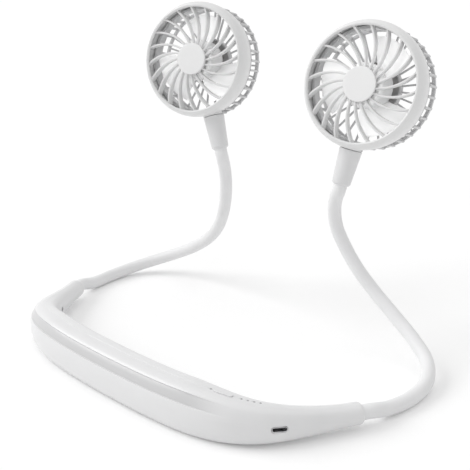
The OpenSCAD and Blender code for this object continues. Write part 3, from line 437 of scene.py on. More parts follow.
# %% [markdown]
# ## The collar's shells
# The collar is two moulded shells that meet along the top and along the floor. Its middle line is one
# Bezier curve for each half, its section grows from a round end to a flattened bar, and a shallow grip groove
# runs along the outer face. A skin over many sections gives this exactly, and each shell is one closed
# skin: its outline runs along the outside and comes back along the inside, a wall thickness away.

# %% The collar's sizes
COLLAR_HALF_SPAN, COLLAR_DEPTH, COLLAR_SPLAY = 131.0, 69.5, 28.5
BAR_HANDLE, END_HANDLE = 101.7, 62.7
COLLAR_W, COLLAR_H, COLLAR_END_D, COLLAR_END_Z = 23.0, 29.0, 13.0, 9.0
SHELL_WALL, TAPER_L, END_ROUND = 1.8, 105.0, 1.5
HOSE_D, HOSE_SEAT = 9.0, 0.2
GROOVE_DEPTH, GROOVE_FROM, GROOVE_TO, GROOVE_FADE, GROOVE_BEVEL = 0.8, -112.0, 90.0, 26.0, 0.7
SEAM_SHARE, SEAM_CHAMFER = -0.065, 0.14
OUTER_SHARES = [
    [SEAM_SHARE, 1], [0.12, 0.995], [0.22, 0.975], [0.3, 0.935], [0.455, 0.71], [0.485, 0.62], [0.5, 0.48],
    [0.495, 0.34], [0.465, 0.2], [0.4, 0.09], [0.31, 0.02], [0.22, 0], [SEAM_SHARE, 0],
]
INNER_SHARES = [
    [SEAM_SHARE, 0], [-0.22, 0], [-0.32, 0.02], [-0.41, 0.09], [-0.465, 0.2], [-0.49, 0.35], [-0.49, 0.6],
    [-0.47, 0.78], [-0.42, 0.9], [-0.33, 0.97], [-0.22, 0.998], [SEAM_SHARE, 1],
]
GROOVE_TOP = 3
OUTLINE_SPACING, BAND_EDGE_SHARE, BAND_EDGE_PLACES, BAND_FLAT_PLACES = 0.02, 0.12, 6, 10
SPLAY_OUT, SPLAY_ALONG = np.sin(np.radians(COLLAR_SPLAY)), np.cos(np.radians(COLLAR_SPLAY))
HALF_CURVE = [
    [0, -COLLAR_DEPTH], [BAR_HANDLE, -COLLAR_DEPTH],
    [COLLAR_HALF_SPAN - END_HANDLE * SPLAY_OUT, -END_HANDLE * SPLAY_ALONG], [COLLAR_HALF_SPAN, 0],
]
CURVE_STEPS = 48
curve_t = np.linspace(0, 1, CURVE_STEPS + 1)
curve_legs = np.linalg.norm(np.diff(bezier(HALF_CURVE, curve_t)[0], axis=0), axis=1)
curve_run = np.concatenate([[0], np.cumsum(curve_legs)])
HALF_L = curve_run[-1]
print("half of the collar's middle line is", round(HALF_L, 2), "mm long")


# %% The collar's frame at a station
def growth(s):
    """How far the section has grown from the round end, 0, to the full bar, 1."""
    return smooth_step((HALF_L - np.abs(s)) / TAPER_L)


def between(low, high, share):
    """From low to high in a straight line as the share goes from 0 to 1."""
    return low + (high - low) * share


def collar_width(s):
    """The section's full width: the end's diameter, growing to the bar's width."""
    return between(COLLAR_END_D, COLLAR_W, growth(s))


def collar_height(s):
    """Its full height, which grows in the same way."""
    return between(COLLAR_END_D, COLLAR_H, growth(s))


def collar_middle(s):
    """How high the section's middle lies, which grows in the same way."""
    return between(COLLAR_END_Z, COLLAR_H / 2, growth(s))


def collar_roof(s):
    """The top of the section: its middle plus half its height."""
    return collar_middle(s) + collar_height(s) / 2


def collar_frame(s):
    """The middle line at each station, measured along it from the middle of the bar, and the level
    direction out of the collar there."""
    s = np.atleast_1d(np.asarray(s, float))
    side = np.where(s < 0, -1.0, 1.0)
    point, way = bezier(HALF_CURVE, np.interp(np.abs(s), curve_run, curve_t))
    line = np.stack([side * point[:, 0], point[:, 1] + END_PLANE_Y, 0 * s], -1)
    out = np.stack([side * way[:, 1], -way[:, 0], 0 * s], -1)
    return line, out


print("roof: mm high in the middle and at the ends:", [round(float(collar_roof(s)), 2) for s in (0, HALF_L)])


# %% The collar's sections
def end_cut(s):
    """How much of the radius the rounded rim takes off near an end: a quarter circle."""
    x = np.clip((HALF_L - np.abs(s)) / END_ROUND, 0, 1)
    return END_ROUND * (1 - np.sqrt(np.maximum(0, 1 - (1 - x) ** 2)))


def sections(shares, s, width, height):
    """A row of section points for each station: a circle at the ends that grows into the drawn shares."""
    drawn = shares - [0, 0.5]
    mixed = between(unit(drawn)[None] / 2, drawn[None], growth(s)[:, None, None])
    return mixed * np.stack([width, height], -1)[:, None]


def groove_sink(s, band):
    """Depth of the grip groove at each point of its band: it fades towards the first and the last station,
    and its sides slope over the bevel's width."""
    along = np.linalg.norm(band - band[:, :1], axis=-1)
    fade = smooth_step((GROOVE_TO - s) / GROOVE_FADE) * smooth_step((s - GROOVE_FROM) / GROOVE_FADE)
    near = np.minimum(along, along[:, -1:] - along) / GROOVE_BEVEL
    return GROOVE_DEPTH * fade[:, None] * smooth_step(near)


def fine_outline(shares):
    """A smooth outline through the drawn shares, with places close together at both edges of the groove's
    band, and the first and last place of the band."""
    line, _, marks = smooth_line(shares, OUTLINE_SPACING)
    places = np.arange(marks[-1] + 1)
    low, high = marks[GROOVE_TOP], marks[GROOVE_TOP + 1]
    edge = np.linspace(0, BAND_EDGE_SHARE, BAND_EDGE_PLACES)
    flat = np.linspace(BAND_EDGE_SHARE, 1 - BAND_EDGE_SHARE, BAND_FLAT_PLACES)[1:-1]
    inside = np.concatenate([edge, flat, 1 - edge[::-1]])
    chosen = np.concatenate([places[:low], low + inside * (high - low), places[high + 1 :]])
    fine = np.stack([np.interp(chosen, places, line[:, k]) for k in (0, 1)], -1)
    fine[:, 1] = np.clip(fine[:, 1], 0, 1)
    return fine, low, low + len(inside)


print("points in an outline:", len(fine_outline(OUTER_SHARES)[0]))


# %% A wall over the sections
def shell_skin(shares, stations, groove):
    """A closed wall over the stations: the outside outline, and the inside one on the way back."""
    fine, low, high = fine_outline(shares)
    cut = 2 * end_cut(stations)
    outside = sections(fine, stations, collar_width(stations) - cut, collar_height(stations) - cut)
    bore, wall = HOSE_D + 2 * HOSE_SEAT, 2 * SHELL_WALL
    inner_sizes = [between(bore, full - wall, growth(stations)) for full in (COLLAR_W, COLLAR_H)]
    inside = sections(fine, stations, *inner_sizes)
    if groove:
        band = outside[:, low:high]
        way = unit(band[:, -1:] - band[:, :1])
        inward = np.stack([way[..., 1], -way[..., 0]], -1)
        outside[:, low:high] = band + inward * groove_sink(stations, band)[..., None]
    outside = chamfered(outside)
    loops = np.concatenate([outside, inside[:, ::-1]], 1)
    line, out = collar_frame(stations)
    points = line[:, None] + out[:, None] * loops[..., :1]
    points[..., 2] += collar_middle(stations)[:, None] + loops[..., 1]
    n, m = loops.shape[:2]
    j = np.arange(m // 2 - 1)
    rim = np.stack([j, j + 1, m - 2 - j, m - 1 - j], -1)
    return points.reshape(-1, 3), [grid_faces(n, m), rim[:, ::-1], rim + (n - 1) * m]


def chamfered(outline):
    """Both ends of an open outline, at the seam, cut back a little along the skin and into it."""
    first, last = outline[:, :1], outline[:, -1:]
    step_in = first + unit(outline[:, 1:2] - first) * SEAM_CHAMFER
    step_out = last + unit(outline[:, -2:-1] - last) * SEAM_CHAMFER
    starts, ends = (corner - unit(corner) * SEAM_CHAMFER for corner in (first, last))
    return np.concatenate([starts, step_in, outline[:, 1:-1], step_out, ends], 1)


def groove_marks(stations):
    """For each point of the outer shell, how deep it lies in the groove: nothing outside it, one on its
    floor. This is where the groove's painted shade goes. The chamfer at the seam puts one more point
    before the band."""
    fine, low, high = fine_outline(np.array(OUTER_SHARES))
    band = sections(fine, stations, collar_width(stations), collar_height(stations))[:, low:high]
    loops = np.zeros((len(stations), 2 * len(fine) + 2))
    loops[:, low + 1 : high + 1] = groove_sink(stations, band) / GROOVE_DEPTH
    return loops.ravel()


three = np.linspace(-HALF_L, HALF_L, 3)
print("points in a wall over 3 stations:", len(shell_skin(np.array(OUTER_SHARES), three, groove=True)[0]))

# %% The collar's skins
RIM_START, RIM_STATIONS = 15, 6


def collar_stations(spacing=1.5):
    """Even stations, with closer ones round the rim of each end: equal angles of its quarter circle."""
    count = int(2 * (HALF_L - END_ROUND) / spacing)
    middle = np.linspace(-HALF_L + END_ROUND, HALF_L - END_ROUND, count)
    rim = HALF_L - END_ROUND * (1 - np.sin(np.radians(np.linspace(RIM_START, 90, RIM_STATIONS))))
    return np.concatenate([-rim[::-1], middle, rim])


stations = collar_stations()
outer_form = shell_skin(np.array(OUTER_SHARES), stations, groove=True)
inner_form = shell_skin(np.array(INNER_SHARES), stations, groove=False)
print("stations:", len(stations), "points in the outer shell:", len(outer_form[0]))

# %% [markdown]
# ## Cuts in the shells
# The button, the light guides, the charging inlet and the screws all need openings. A skin over sections
# can't leave them out, so each opening is modelled as a solid of its own and subtracted once. The result is
# kept as a plain mesh, which leaves no live modifier and no hidden cutter behind.

# %% The pill shape of a button or a slot
def pill_outline(length, width, steps=14):
    """Two half circles on a straight stretch, the long way along the second coordinate."""
    a = np.radians(np.concatenate([np.linspace(0, 180, steps), np.linspace(180, 360, steps)]))
    middle = np.repeat([1.0, -1.0], steps) * (length - width) / 2
    return np.stack([np.cos(a) * width / 2, np.sin(a) * width / 2 + middle], -1)


def pill_stack(length, width, rings, level=np.zeros_like):
    """Pills of one middle line over each other: each ring has its height and how far it draws in.
    A level adds a height to every point by its place, so that the stack follows a curved surface."""
    outlines = np.stack([pill_outline(length - 2 * inset, width - 2 * inset) for _, inset in rings])
    heights = np.array([height for height, _ in rings])[:, None, None] + 0 * outlines[..., :1]
    return stacked(np.concatenate([outlines, heights + level(outlines[..., 1:])], -1))


print("points in a pill's outline:", len(pill_outline(11, 3)))


# %% What the shells are cut and joined with
BUTTON_S, BUTTON_L, BUTTON_W, BUTTON_GAP, BUTTON_DROP = 82.3, 11.0, 3.0, 0.15, 2.8
CONTROL_OFFSET, DOT_S, DOT_R = SEAM_SHARE * COLLAR_W, 74.6, 0.8
LIGHT_S, LIGHT_PITCH, LIGHT_N, LENS_R = 92.9, 3.6, 4, 0.7
PORT_S, PORT_W, PORT_H, PORT_Z, PORT_CHAMFER, PORT_PLAN_R = 112.7, 9.4, 3.7, 12.53, 0.35, 52.0
SLOT_DOWN, SLOT_LIP, SLOT_FLARE, HOLE_FLARE = 4.0, 0.02, 3.0, 2.0
PORT_LIP, PORT_OUT, PORT_FLARE = 0.05, 3.0, 0.4
SCREW_STATIONS = (-118.0, -76.0, 70.0, 126.0)
SCREW_POST_R, SCREW_BOSS_R, SCREW_SHANK_R, SCREW_HOLE_R, SCREW_HEAD_R = 2.5, 3.3, 1.0, 1.15, 2.1
SCREW_GRIP, SCREW_SUNK, SCREW_HEAD_H = 6.0, 0.6, 1.3
BOARD_TOP, CHIP_H, BOARD_T = 17.0, 0.6, 1.0
EDGE = 0.18
ROOF_REACH = 1.5
light_stations = LIGHT_S + LIGHT_PITCH * np.arange(LIGHT_N)
roof_rise = collar_roof(BUTTON_S + ROOF_REACH) - collar_roof(BUTTON_S - ROOF_REACH)
roof_slope = np.degrees(np.arctan2(roof_rise, 2 * ROOF_REACH))
print("the roof slopes by", round(roof_slope, 2), "degrees at the button")


# %% Forms in their places on the collar
def at_station(form, s, offset, z=0.0, slope=0.0):
    """A form that is drawn at a station, X out of the collar, Y along it and Z up, in its place."""
    points, faces = form
    line, out = collar_frame(s)
    axes = np.stack([out[0], [-out[0][1], out[0][0], 0], [0, 0, 1]], 1) @ turn(X_AXIS, slope)
    return points @ axes.T + line[0] + out[0] * offset + [0, 0, z], faces


def seam_at(s):
    """How far out of the middle line the seam lies: a fixed share of the width."""
    return SEAM_SHARE * collar_width(s)


def outer_face(s):
    """How far out the outer face lies: half of the width."""
    return collar_width(s) / 2


def on_roof(rings):
    """A stack of pills at the button's place, square to the roof there."""
    form = pill_stack(BUTTON_L, BUTTON_W, rings)
    return at_station(form, BUTTON_S, CONTROL_OFFSET, collar_roof(BUTTON_S), roof_slope)


print("at the button the seam lies", round(float(seam_at(BUTTON_S)), 2), "mm from the middle line")


# %% The openings
def button_slot():
    """The slot of the button: straight walls, and an edge that widens towards the outside."""
    wide = BUTTON_GAP + EDGE
    return on_roof([
        (-SLOT_DOWN, -BUTTON_GAP), (-EDGE, -BUTTON_GAP), (SLOT_LIP, -wide), (SLOT_FLARE, -wide - SLOT_FLARE),
    ])


def light_hole(s, r):
    """A light guide's hole with a slightly widened mouth."""
    low, top = BOARD_TOP + BOARD_T, collar_roof(s)
    widened = [[r, top - EDGE], [r + EDGE, top], [r + HOLE_FLARE, top + HOLE_FLARE]]
    hole = domed([[0, low], [r, low], *widened, [0, top + HOLE_FLARE]], steps=32)
    return at_station(hole, s, CONTROL_OFFSET)


def port_mouth():
    """The mouth of the charging inlet, whose chamfer follows the curve of the collar's outer face. The stack
    is laid along X, with its long way still along Y."""
    face = outer_face(PORT_S)
    rings = [
        (-2 * SHELL_WALL, 0), (-PORT_CHAMFER, 0), (PORT_LIP, -PORT_CHAMFER),
        (PORT_OUT, -PORT_CHAMFER - PORT_FLARE),
    ]
    points, faces = pill_stack(PORT_W, PORT_H, rings, lambda y: face - y * y / (2 * PORT_PLAN_R))
    return at_station((points[:, [2, 1, 0]], faces), PORT_S, 0, PORT_Z)


def screw_posts(r, low, high):
    """At each screw, a post across the collar from one offset to another, each given by the station."""
    posts = [(s, *rod(r, low(s), high(s), steps=32)) for s in SCREW_STATIONS]
    return [at_station((points[:, [2, 0, 1]], faces), s, 0, collar_middle(s)) for s, points, faces in posts]


print("the inlet's mouth has", len(port_mouth()[0]), "points")

# %% The cutters
HALF_WALL, SEAT_PLAY, SHANK_BACK = SHELL_WALL / 2, 0.1, 1
head_depth = SCREW_SUNK + SCREW_HEAD_H
control_holes = [button_slot(), light_hole(DOT_S, DOT_R)] + [light_hole(s, LENS_R) for s in light_stations]
outer_posts = screw_posts(SCREW_POST_R, seam_at, lambda s: outer_face(s) - HALF_WALL)
outer_cuts = [*control_holes, port_mouth()]
outer_cuts += screw_posts(SCREW_SHANK_R, lambda s: seam_at(s) - SHANK_BACK, lambda s: seam_at(s) + SCREW_GRIP)
inner_posts = screw_posts(SCREW_BOSS_R, lambda s: HALF_WALL - outer_face(s), lambda s: seam_at(s) - SEAT_PLAY)
inner_cuts = [*control_holes, *screw_posts(SCREW_HOLE_R, lambda s: -COLLAR_W, lambda s: COLLAR_W)]
inner_cuts += screw_posts(SCREW_HEAD_R, lambda s: -COLLAR_W, lambda s: head_depth - outer_face(s))
print("cutters for the outer shell:", len(outer_cuts), "and for the inner one:", len(inner_cuts))

# %% The two shells
def cut_away(form, cutters, joined, marks=()):
    """A form with others joined to it and then others cut from it, kept as a plain mesh. Marks are names of
    attributes, each with its value for every point of the form."""
    blank = add_object("blank", make_mesh("blank", form))
    for name, values in marks:
        blank.data.attributes.new(name, "FLOAT", "POINT").data.foreach_set("value", values)
    tools = []
    for operation, forms in (("UNION", joined), ("DIFFERENCE", cutters)):
        for solid in forms:
            tools.append(add_object("tool", make_mesh("tool", solid)))
            step = blank.modifiers.new("step", "BOOLEAN")
            step.operation, step.solver, step.object = operation, "EXACT", tools[-1]
    evaluated = blank.evaluated_get(bpy.context.evaluated_depsgraph_get())
    mesh = bpy.data.meshes.new_from_object(evaluated)
    for extra in [blank, *tools]:
        bpy.data.objects.remove(extra)
    return mesh


# The groove attribute tells where the groove's painted shade goes.
outer_mesh = cut_away(outer_form, outer_cuts, outer_posts, [("groove", groove_marks(stations))])
inner_mesh = cut_away(inner_form, inner_cuts, inner_posts)
shells = [
    make_piece("outer_shell", outer_mesh, "shell plastic", "white_plastic", "collar", ["collar_outer_shell"]),
    make_piece("inner_shell", inner_mesh, "shell plastic", "white_plastic", "collar", ["collar_inner_shell"]),
]
print("shells:", [len(shell.data.polygons) for shell in shells], "faces")

# %% [markdown]
# ## Button and light guides
# The button is a pill that stands half a millimetre proud, with an eased top edge, a low crown and a flange
# that keeps it in. The lights show through five short round rods, which end just below the skin with a
# domed top: one beside the button on one side, and a row of four on the other. A bevelled box would do from
# afar, but close up the button shows its eased edge, so it is a stack of pill outlines, one for each height.

# %% The button and the light guides
BUTTON_PROUD, BUTTON_FLANGE, BUTTON_FLANGE_T = 0.5, 0.45, 0.8
BUTTON_EASE, BUTTON_CROWN = 0.4, ((0.05, 0.8), (0.08, 1.3))
LENS_SUNK, LENS_DOME, DOME_PLACES = 0.2, 0.15, 6
ease = np.radians(np.linspace(0, 90, DOME_PLACES))
flange = [(-BUTTON_DROP - BUTTON_FLANGE_T, -BUTTON_FLANGE), (-BUTTON_DROP, -BUTTON_FLANGE)]
eased = [(BUTTON_PROUD - BUTTON_EASE + BUTTON_EASE * np.sin(a), BUTTON_EASE * (1 - np.cos(a))) for a in ease]
crown = [(BUTTON_PROUD + height, inset) for height, inset in BUTTON_CROWN]
button_form = on_roof([*flange, (-BUTTON_DROP, 0), *eased, *crown])
make_piece("button", button_form, "shell plastic", "white_plastic", "button", ["power_button"])


def light_guide(s, r):
    """A rod from just over its chip to just under the roof, with a low dome on top."""
    low, top = BOARD_TOP + CHIP_H, float(collar_roof(s)) - LENS_SUNK
    t = np.linspace(0, 1, DOME_PLACES)
    dome = np.stack([r * np.sqrt(1 - t * t), top - LENS_DOME + LENS_DOME * t], -1)
    return at_station(domed([[0, low], [r, low], *dome], steps=24), s, CONTROL_OFFSET)


guides = together([light_guide(DOT_S, DOT_R)] + [light_guide(s, LENS_R) for s in light_stations])
make_piece("light_guides", guides, "light guide", "lens", "collar", ["indicator_lenses"])
print("button and", LIGHT_N + 1, "light guides made")

# %% [markdown]
# ## The arms
# Each hose is one soft sleeve over a metal core. A hose that bends at two places spans three bodies, and a
# bend joins only two, so each sleeve is made in two lengths that meet where the arm is stiff. The first
# length runs from the collar to the arm, and the second from the arm to the neck under the barrel.

# %% The route of an arm
ARM_SPAN, ARM_REACH, ARM_RISE = 140.0, 90.0, 112.0
CORE_D, CORE_GAP = 4.0, 0.05
HOSE_IN_COLLAR, CORE_TAIL, STRAIGHT_OUT, HOSE_SOCKET, PIN_END = 9.0, 4.0, 4.0, 11.5, 1.5
FLOOR_SHARES = [
    [0.976, 0.222, 0.008], [0.997, 0.456, 0.001], [0.976, 0.7, 0.018], [0.904, 0.861, 0.06],
    [0.811, 0.937, 0.116], [0.664, 0.993, 0.218], [0.557, 1, 0.317],
]
RISE_SHARES = {
    "right": [[0.464, 0.978, 0.442], [0.39, 0.955, 0.581], [0.352, 0.926, 0.702], [0.364, 0.878, 0.898]],
    "left": [[0.472, 0.985, 0.433], [0.412, 0.956, 0.572], [0.376, 0.928, 0.721], [0.352, 0.872, 0.926]],
}
FOOT_SHARES = {"right": [0.386, 0.879, 0.988], "left": [0.36, 0.84, 1.054]}
LEAN = {"right": 6.0, "left": -22.0}
TILT = {"right": 15.5, "left": 6.0}
TURN = {"right": 8.5, "left": 18.5}
ROUTE_HOSE_START, ROUTE_LOWER, ROUTE_MIDDLE, ROUTE_MEETING = 1, 8, 9, 11
ROUTE_UPPER, ROUTE_TOP, ROUTE_HOSE_END, ROUTE_END = 13, 14, 17, 18


def reached(share, side):
    """A route point from its shares of the arm's span, reach and rise."""
    x, y, z = share
    height = HOSE_D / 2 + z * (ARM_RISE - HOSE_D / 2)
    return np.array([SIDES[side] * x * ARM_SPAN, y * ARM_REACH + END_PLANE_Y, height])


def barrel_turn(side):
    """The turn of a barrel: a tilt about X, and then a lean about Y."""
    return turn(Y_AXIS, LEAN[side]) @ turn(X_AXIS, -TILT[side])


def arm_route(side):
    """Straight out of the collar, over the floor, inwards and up, and straight into the barrel."""
    mouth = np.array([SIDES[side] * COLLAR_HALF_SPAN, END_PLANE_Y, COLLAR_END_Z])
    out = np.array([SIDES[side] * SPLAY_OUT, SPLAY_ALONG, 0])
    foot, up = reached(FOOT_SHARES[side], side), barrel_turn(side)[:, 2]
    start = [mouth + far * out for far in (-HOSE_IN_COLLAR - CORE_TAIL, -HOSE_IN_COLLAR, 0, STRAIGHT_OUT)]
    drawn = [reached(share, side) for share in FLOOR_SHARES + RISE_SHARES[side]]
    end = [foot + far * up for far in (-STRAIGHT_OUT, 0, HOSE_SOCKET, HOSE_SOCKET + PIN_END / 2)]
    return np.array(start + drawn + end)


print("points in a route:", len(arm_route("right")))

# %% The lengths of an arm
# A length's hose and core from one route point to another, the bodies that it joins, the points between
# which it bends, and the nodes that it stands for.
LENGTHS = {
    "lower": (
        (ROUTE_HOSE_START, ROUTE_MEETING), (0, ROUTE_MEETING), ("collar", "{}_arm"),
        (ROUTE_LOWER, ROUTE_MIDDLE), ["root", "lower_bend", "middle"],
    ),
    "upper": (
        (ROUTE_MEETING, ROUTE_HOSE_END), (ROUTE_MEETING, ROUTE_END), ("{}_arm", "{}_neck"),
        (ROUTE_UPPER, ROUTE_TOP), ["upper_bend", "top"],
    ),
}
print("the nodes of each length:", {part: row[-1] for part, row in LENGTHS.items()})

# %% Sleeves and cores
HOSE_ROUND, CORE_ROUND, ALONG_ARM = 48, 24, 1.2


def level_frame(ways, side):
    """Two directions square to the line at each place, from one direction that the arm never points along."""
    across = unit(np.cross(ways, [SIDES[side], 1.0, 1.0]))
    return across, np.cross(ways, across)


def pipe_round(line, ways, side, r, steps):
    """A round of points about each place of a line, and the faces that make a bar of them."""
    a = np.linspace(0, 2 * np.pi, steps, endpoint=False)
    return carried(np.stack([np.cos(a), np.sin(a)], -1) * r, line, *level_frame(ways, side))


def sleeve(line, ways, side, outside, inside):
    """A pipe along a line: its rounds run along the outside and come back along the inside."""
    walls = [pipe_round(line, ways, side, r, HOSE_ROUND)[0] for r in (outside, inside)]
    out, back = (points.reshape(-1, HOSE_ROUND, 3) for points in walls)
    rounds = np.concatenate([out, back[::-1]])
    return rounds.reshape(-1, 3), [grid_faces(len(rounds), HOSE_ROUND, wrap_rows=True)]


def arm_pieces(side):
    """Both lengths of an arm's hose and of its core, each made over its own run of the route."""
    route = arm_route(side)
    line, ways, marks = smooth_line(route, ALONG_ARM)
    for part, (hose_run, core_run, bodies, (start, end), nodes) in LENGTHS.items():
        cut, core_cut = (slice(marks[low], marks[high] + 1) for low, high in (hose_run, core_run))
        hose = sleeve(line[cut], ways[cut], side, HOSE_D / 2, CORE_D / 2 + CORE_GAP)
        core = pipe_round(line[core_cut], ways[core_cut], side, CORE_D / 2, CORE_ROUND)
        kinds = [("hose", hose, "silicone", "white_silicone"), ("core", core, "core steel", "core_steel")]
        for kind, form, finish, slot in kinds:
            stands_for = [f"{side}_{kind}_{node}" for node in nodes]
            piece = make_piece(f"{side}_{part}_{kind}", form, finish, slot, None, stands_for)
            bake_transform(piece)
    return line


for side in SIDES:
    legs = np.diff(arm_pieces(side), axis=0)
    print(side, "arm:", round(np.linalg.norm(legs, axis=1).sum()), "mm along its core")

# %% [markdown]
# ## The barrels
# A barrel is a turned part: it takes the hose in its foot, widens upwards, and carries the pin on which the
# head swivels. A cone with bevelled ends would miss its soft foot and its sharper top, so it is one profile
# with both roundings and the bore in it, turned round the barrel's own axis.

# %% The barrels
BARREL_L, BARREL_TOP_D, BARREL_FOOT_D, PIN_D, BARREL_WEB = 23.7, 15.0, 12.4, 6.0, 4.0
FOOT_ROUND, FOOT_START, TOP_ROUND, SOCKET_GAP, BORE_GAP, SWIVEL_GAP = 1.9, -70, 0.5, 0.05, 0.04, 0.3


def arc(centre, r, start, stop, steps):
    """Points of a circle from one angle to another."""
    a = np.radians(np.linspace(start, stop, steps))
    return np.stack([np.cos(a), np.sin(a)], -1) * r + centre


def at_barrel(form, side):
    """A form drawn round a barrel's axis, its foot at the origin, in its place: turned and then moved."""
    points, faces = form
    return points @ barrel_turn(side).T + reached(FOOT_SHARES[side], side), faces


socket_r, pin_bore = HOSE_D / 2 + SOCKET_GAP, PIN_D / 2 + BORE_GAP
barrel_profile = np.concatenate([
    [[socket_r, 0]],
    arc([BARREL_FOOT_D / 2 - FOOT_ROUND, FOOT_ROUND], FOOT_ROUND, FOOT_START, 0, steps=12),
    arc([BARREL_TOP_D / 2 - TOP_ROUND, BARREL_L - TOP_ROUND], TOP_ROUND, 0, 90, steps=7),
    [[pin_bore, BARREL_L], [pin_bore, BARREL_L - BARREL_WEB], [socket_r, BARREL_L - BARREL_WEB]],
])
barrel = turned(barrel_profile, steps=96)
make_both(at_barrel, ("barrel_shell", barrel, "barrel plastic", "white_barrel", "neck", "barrel"))
print("barrel", BARREL_L, "mm long, its profile has", len(barrel_profile), "points")

# %% [markdown]
# ## The front of a head
# The front ring is one turned profile with a raised lip. Twenty swirl ribs run from the hub to the ring,
# each on an arc of one radius, deeper towards the ring. A rib is a rounded box section carried along its arc,
# and its height changes with the distance from the axis. One rib is worked out and turned twenty times.

# %% The head's own frame
OPENING_R, RING_R, RING_L, OPENING_Z, RING_WALL = 36.0, 40.5, 14.5, 15.0, 1.7
LIP_W, LIP_H, LIP_STEP = 2.2, 1.1, 0.7
RIB_N, RIB_T, RIB_ARC_R, RIB_SLANT, RIB_TURN, RIB_EXTRA, RIB_ROUND = 20, 1.3, 33.0, 11.4, 48.6, 2.6, 0.45
DISC_R, DISC_T, DISC_EDGE, DISC_LIFT, DISC_FLAT = 11.0, 1.4, 0.4, 0.02, 2
DISC_CROWN = (0.03, 0.08)
HUB_PLATE_Z, HUB_PLATE_T = 15.5, 2.0
SWIVEL_FACE = RING_R + 0.2
FOOT_TO_HEAD = BARREL_L + SWIVEL_GAP + SWIVEL_FACE
RING_BACK, RING_BACK_R, RING_ROUND = OPENING_Z - RING_L, RING_R - 1.2, 2.6
SEAT_R, SEAT_FRONT, SEAT_REAR, SEAT_EASE, SEAT_DRAW, SEAT_IN_WALL = 7.5, 0.5, -0.4, 0.3, 0.96, 0.6


def head_turn(side):
    """The barrel's turn, with the head's own turn on its pin in it, and in that a quarter turn that lays the
    head's axis level."""
    return barrel_turn(side) @ turn(Z_AXIS, TURN[side]) @ turn(X_AXIS, 90)


def in_head(form, side):
    """A form drawn round a head's axis, Z towards its front and Y up, in its place."""
    points, faces = form
    up = barrel_turn(side)[:, 2]
    return points @ head_turn(side).T + reached(FOOT_SHARES[side], side) + up * FOOT_TO_HEAD, faces


def rounded_box(width, low, high, r, steps=4):
    """A box section with rounded corners for each place: one width, and a foot and a top that may vary."""
    a = np.radians(np.concatenate([np.linspace(0, 90, steps) + 90 * k for k in range(4)]))
    corner_x = np.repeat([1, -1, -1, 1], steps) * (width / 2 - r)
    top = np.repeat([1, 1, 0, 0], steps)
    x = corner_x + r * np.cos(a)
    level = np.where(top, np.asarray(high)[:, None] - r, np.asarray(low)[:, None] + r)
    return np.stack([0 * level + x, level + r * np.sin(a)], -1)


print("a head's middle is", round(FOOT_TO_HEAD, 1), "mm above the foot of its barrel")

# %% The front ring's outline
# Radius and height of each corner, from the lip over the outside to the back, and inside on the way back.
ring_profile = softened([
    [OPENING_R, OPENING_Z],
    [OPENING_R + 0.2 * LIP_W, OPENING_Z + 0.75 * LIP_H],
    [OPENING_R + 0.5 * LIP_W, OPENING_Z + LIP_H],
    [OPENING_R + 0.85 * LIP_W, OPENING_Z + 0.75 * LIP_H],
    [OPENING_R + LIP_W, OPENING_Z + 0.75 * LIP_H - LIP_STEP],
    [between(OPENING_R + LIP_W, RING_R, 0.55), OPENING_Z - 0.11 * RING_L],
    [between(OPENING_R + LIP_W, RING_R, 0.86), OPENING_Z - 0.25 * RING_L],
    [RING_R, OPENING_Z - 0.48 * RING_L],
    [between(RING_R, RING_BACK_R, 0.35), OPENING_Z - 0.75 * RING_L],
    [RING_BACK_R, RING_BACK],
    [RING_BACK_R - RING_WALL, RING_BACK],
    [RING_R - 1.15 * RING_WALL, OPENING_Z - 0.48 * RING_L],
    [OPENING_R + LIP_W, OPENING_Z - 0.28 * RING_L],
    [OPENING_R + 0.45 * LIP_W, OPENING_Z - 0.13 * RING_L],
    [OPENING_R, OPENING_Z - LIP_H / 2],
], RING_ROUND, steps=5)
print("the front ring's outline has", len(ring_profile), "points")

# %% The swirl ribs
# Distances from the axis, and the rib's height at each.
RIB_TOP = ([0, DISC_R, 34.7, 36.55, 37.4], [15.5, 15.5, 14.67, 14.45, 13.2])
RIB_FOOT = ([0, DISC_R, 30.8, 38.2], [12.9, 12.9, 9.4, 9.4])


def swirl_rib(steps=28):
    """A rib along its arc: the section is square to the arc, and its foot and top follow the distance from
    the axis."""
    slant, start = np.radians(RIB_SLANT), RIB_SLANT - 90
    centre = [DISC_R - RIB_ARC_R * np.sin(slant), RIB_ARC_R * np.cos(slant), 0]
    a = np.radians(np.linspace(start - RIB_EXTRA, start + RIB_TURN + RIB_EXTRA, steps))
    out = np.stack([np.cos(a), np.sin(a), 0 * a], -1)
    line = out * RIB_ARC_R + centre
    far = np.hypot(line[:, 0], line[:, 1])
    section = rounded_box(RIB_T, np.interp(far, *RIB_FOOT), np.interp(far, *RIB_TOP), RIB_ROUND)
    return carried(section, line, out, [0, 0, 1])


ribs = copies(swirl_rib(), np.arange(RIB_N) * 360 / RIB_N)
print(RIB_N, "ribs with", len(ribs[0]), "points in all")


# %% The swivel's seat
def swivel_boss(low, high, front):
    """Half of the seat of the swivel: a half ring carried down the swivel's axis."""
    step = SEAT_FRONT if front else SEAT_REAR

    def span(r):
        """Where the half ring starts and stops at a radius, in degrees."""
        a = np.degrees(np.arcsin(step / r))
        return (a, 180 - a) if front else (180 - a, 360 + a)

    outer = arc([0, 0], SEAT_R, *span(SEAT_R), steps=32)
    inner = arc([0, 0], pin_bore, *span(pin_bore)[::-1], steps=16)
    places = np.array([-low, -high + SEAT_EASE, -high])
    shrink = np.array([1, 1, SEAT_DRAW])[:, None, None]
    line = np.stack([0 * places, places, 0 * places], -1)
    return carried(np.vstack([outer, inner]) * shrink, line, [1, 0, 0], [0, 0, 1])


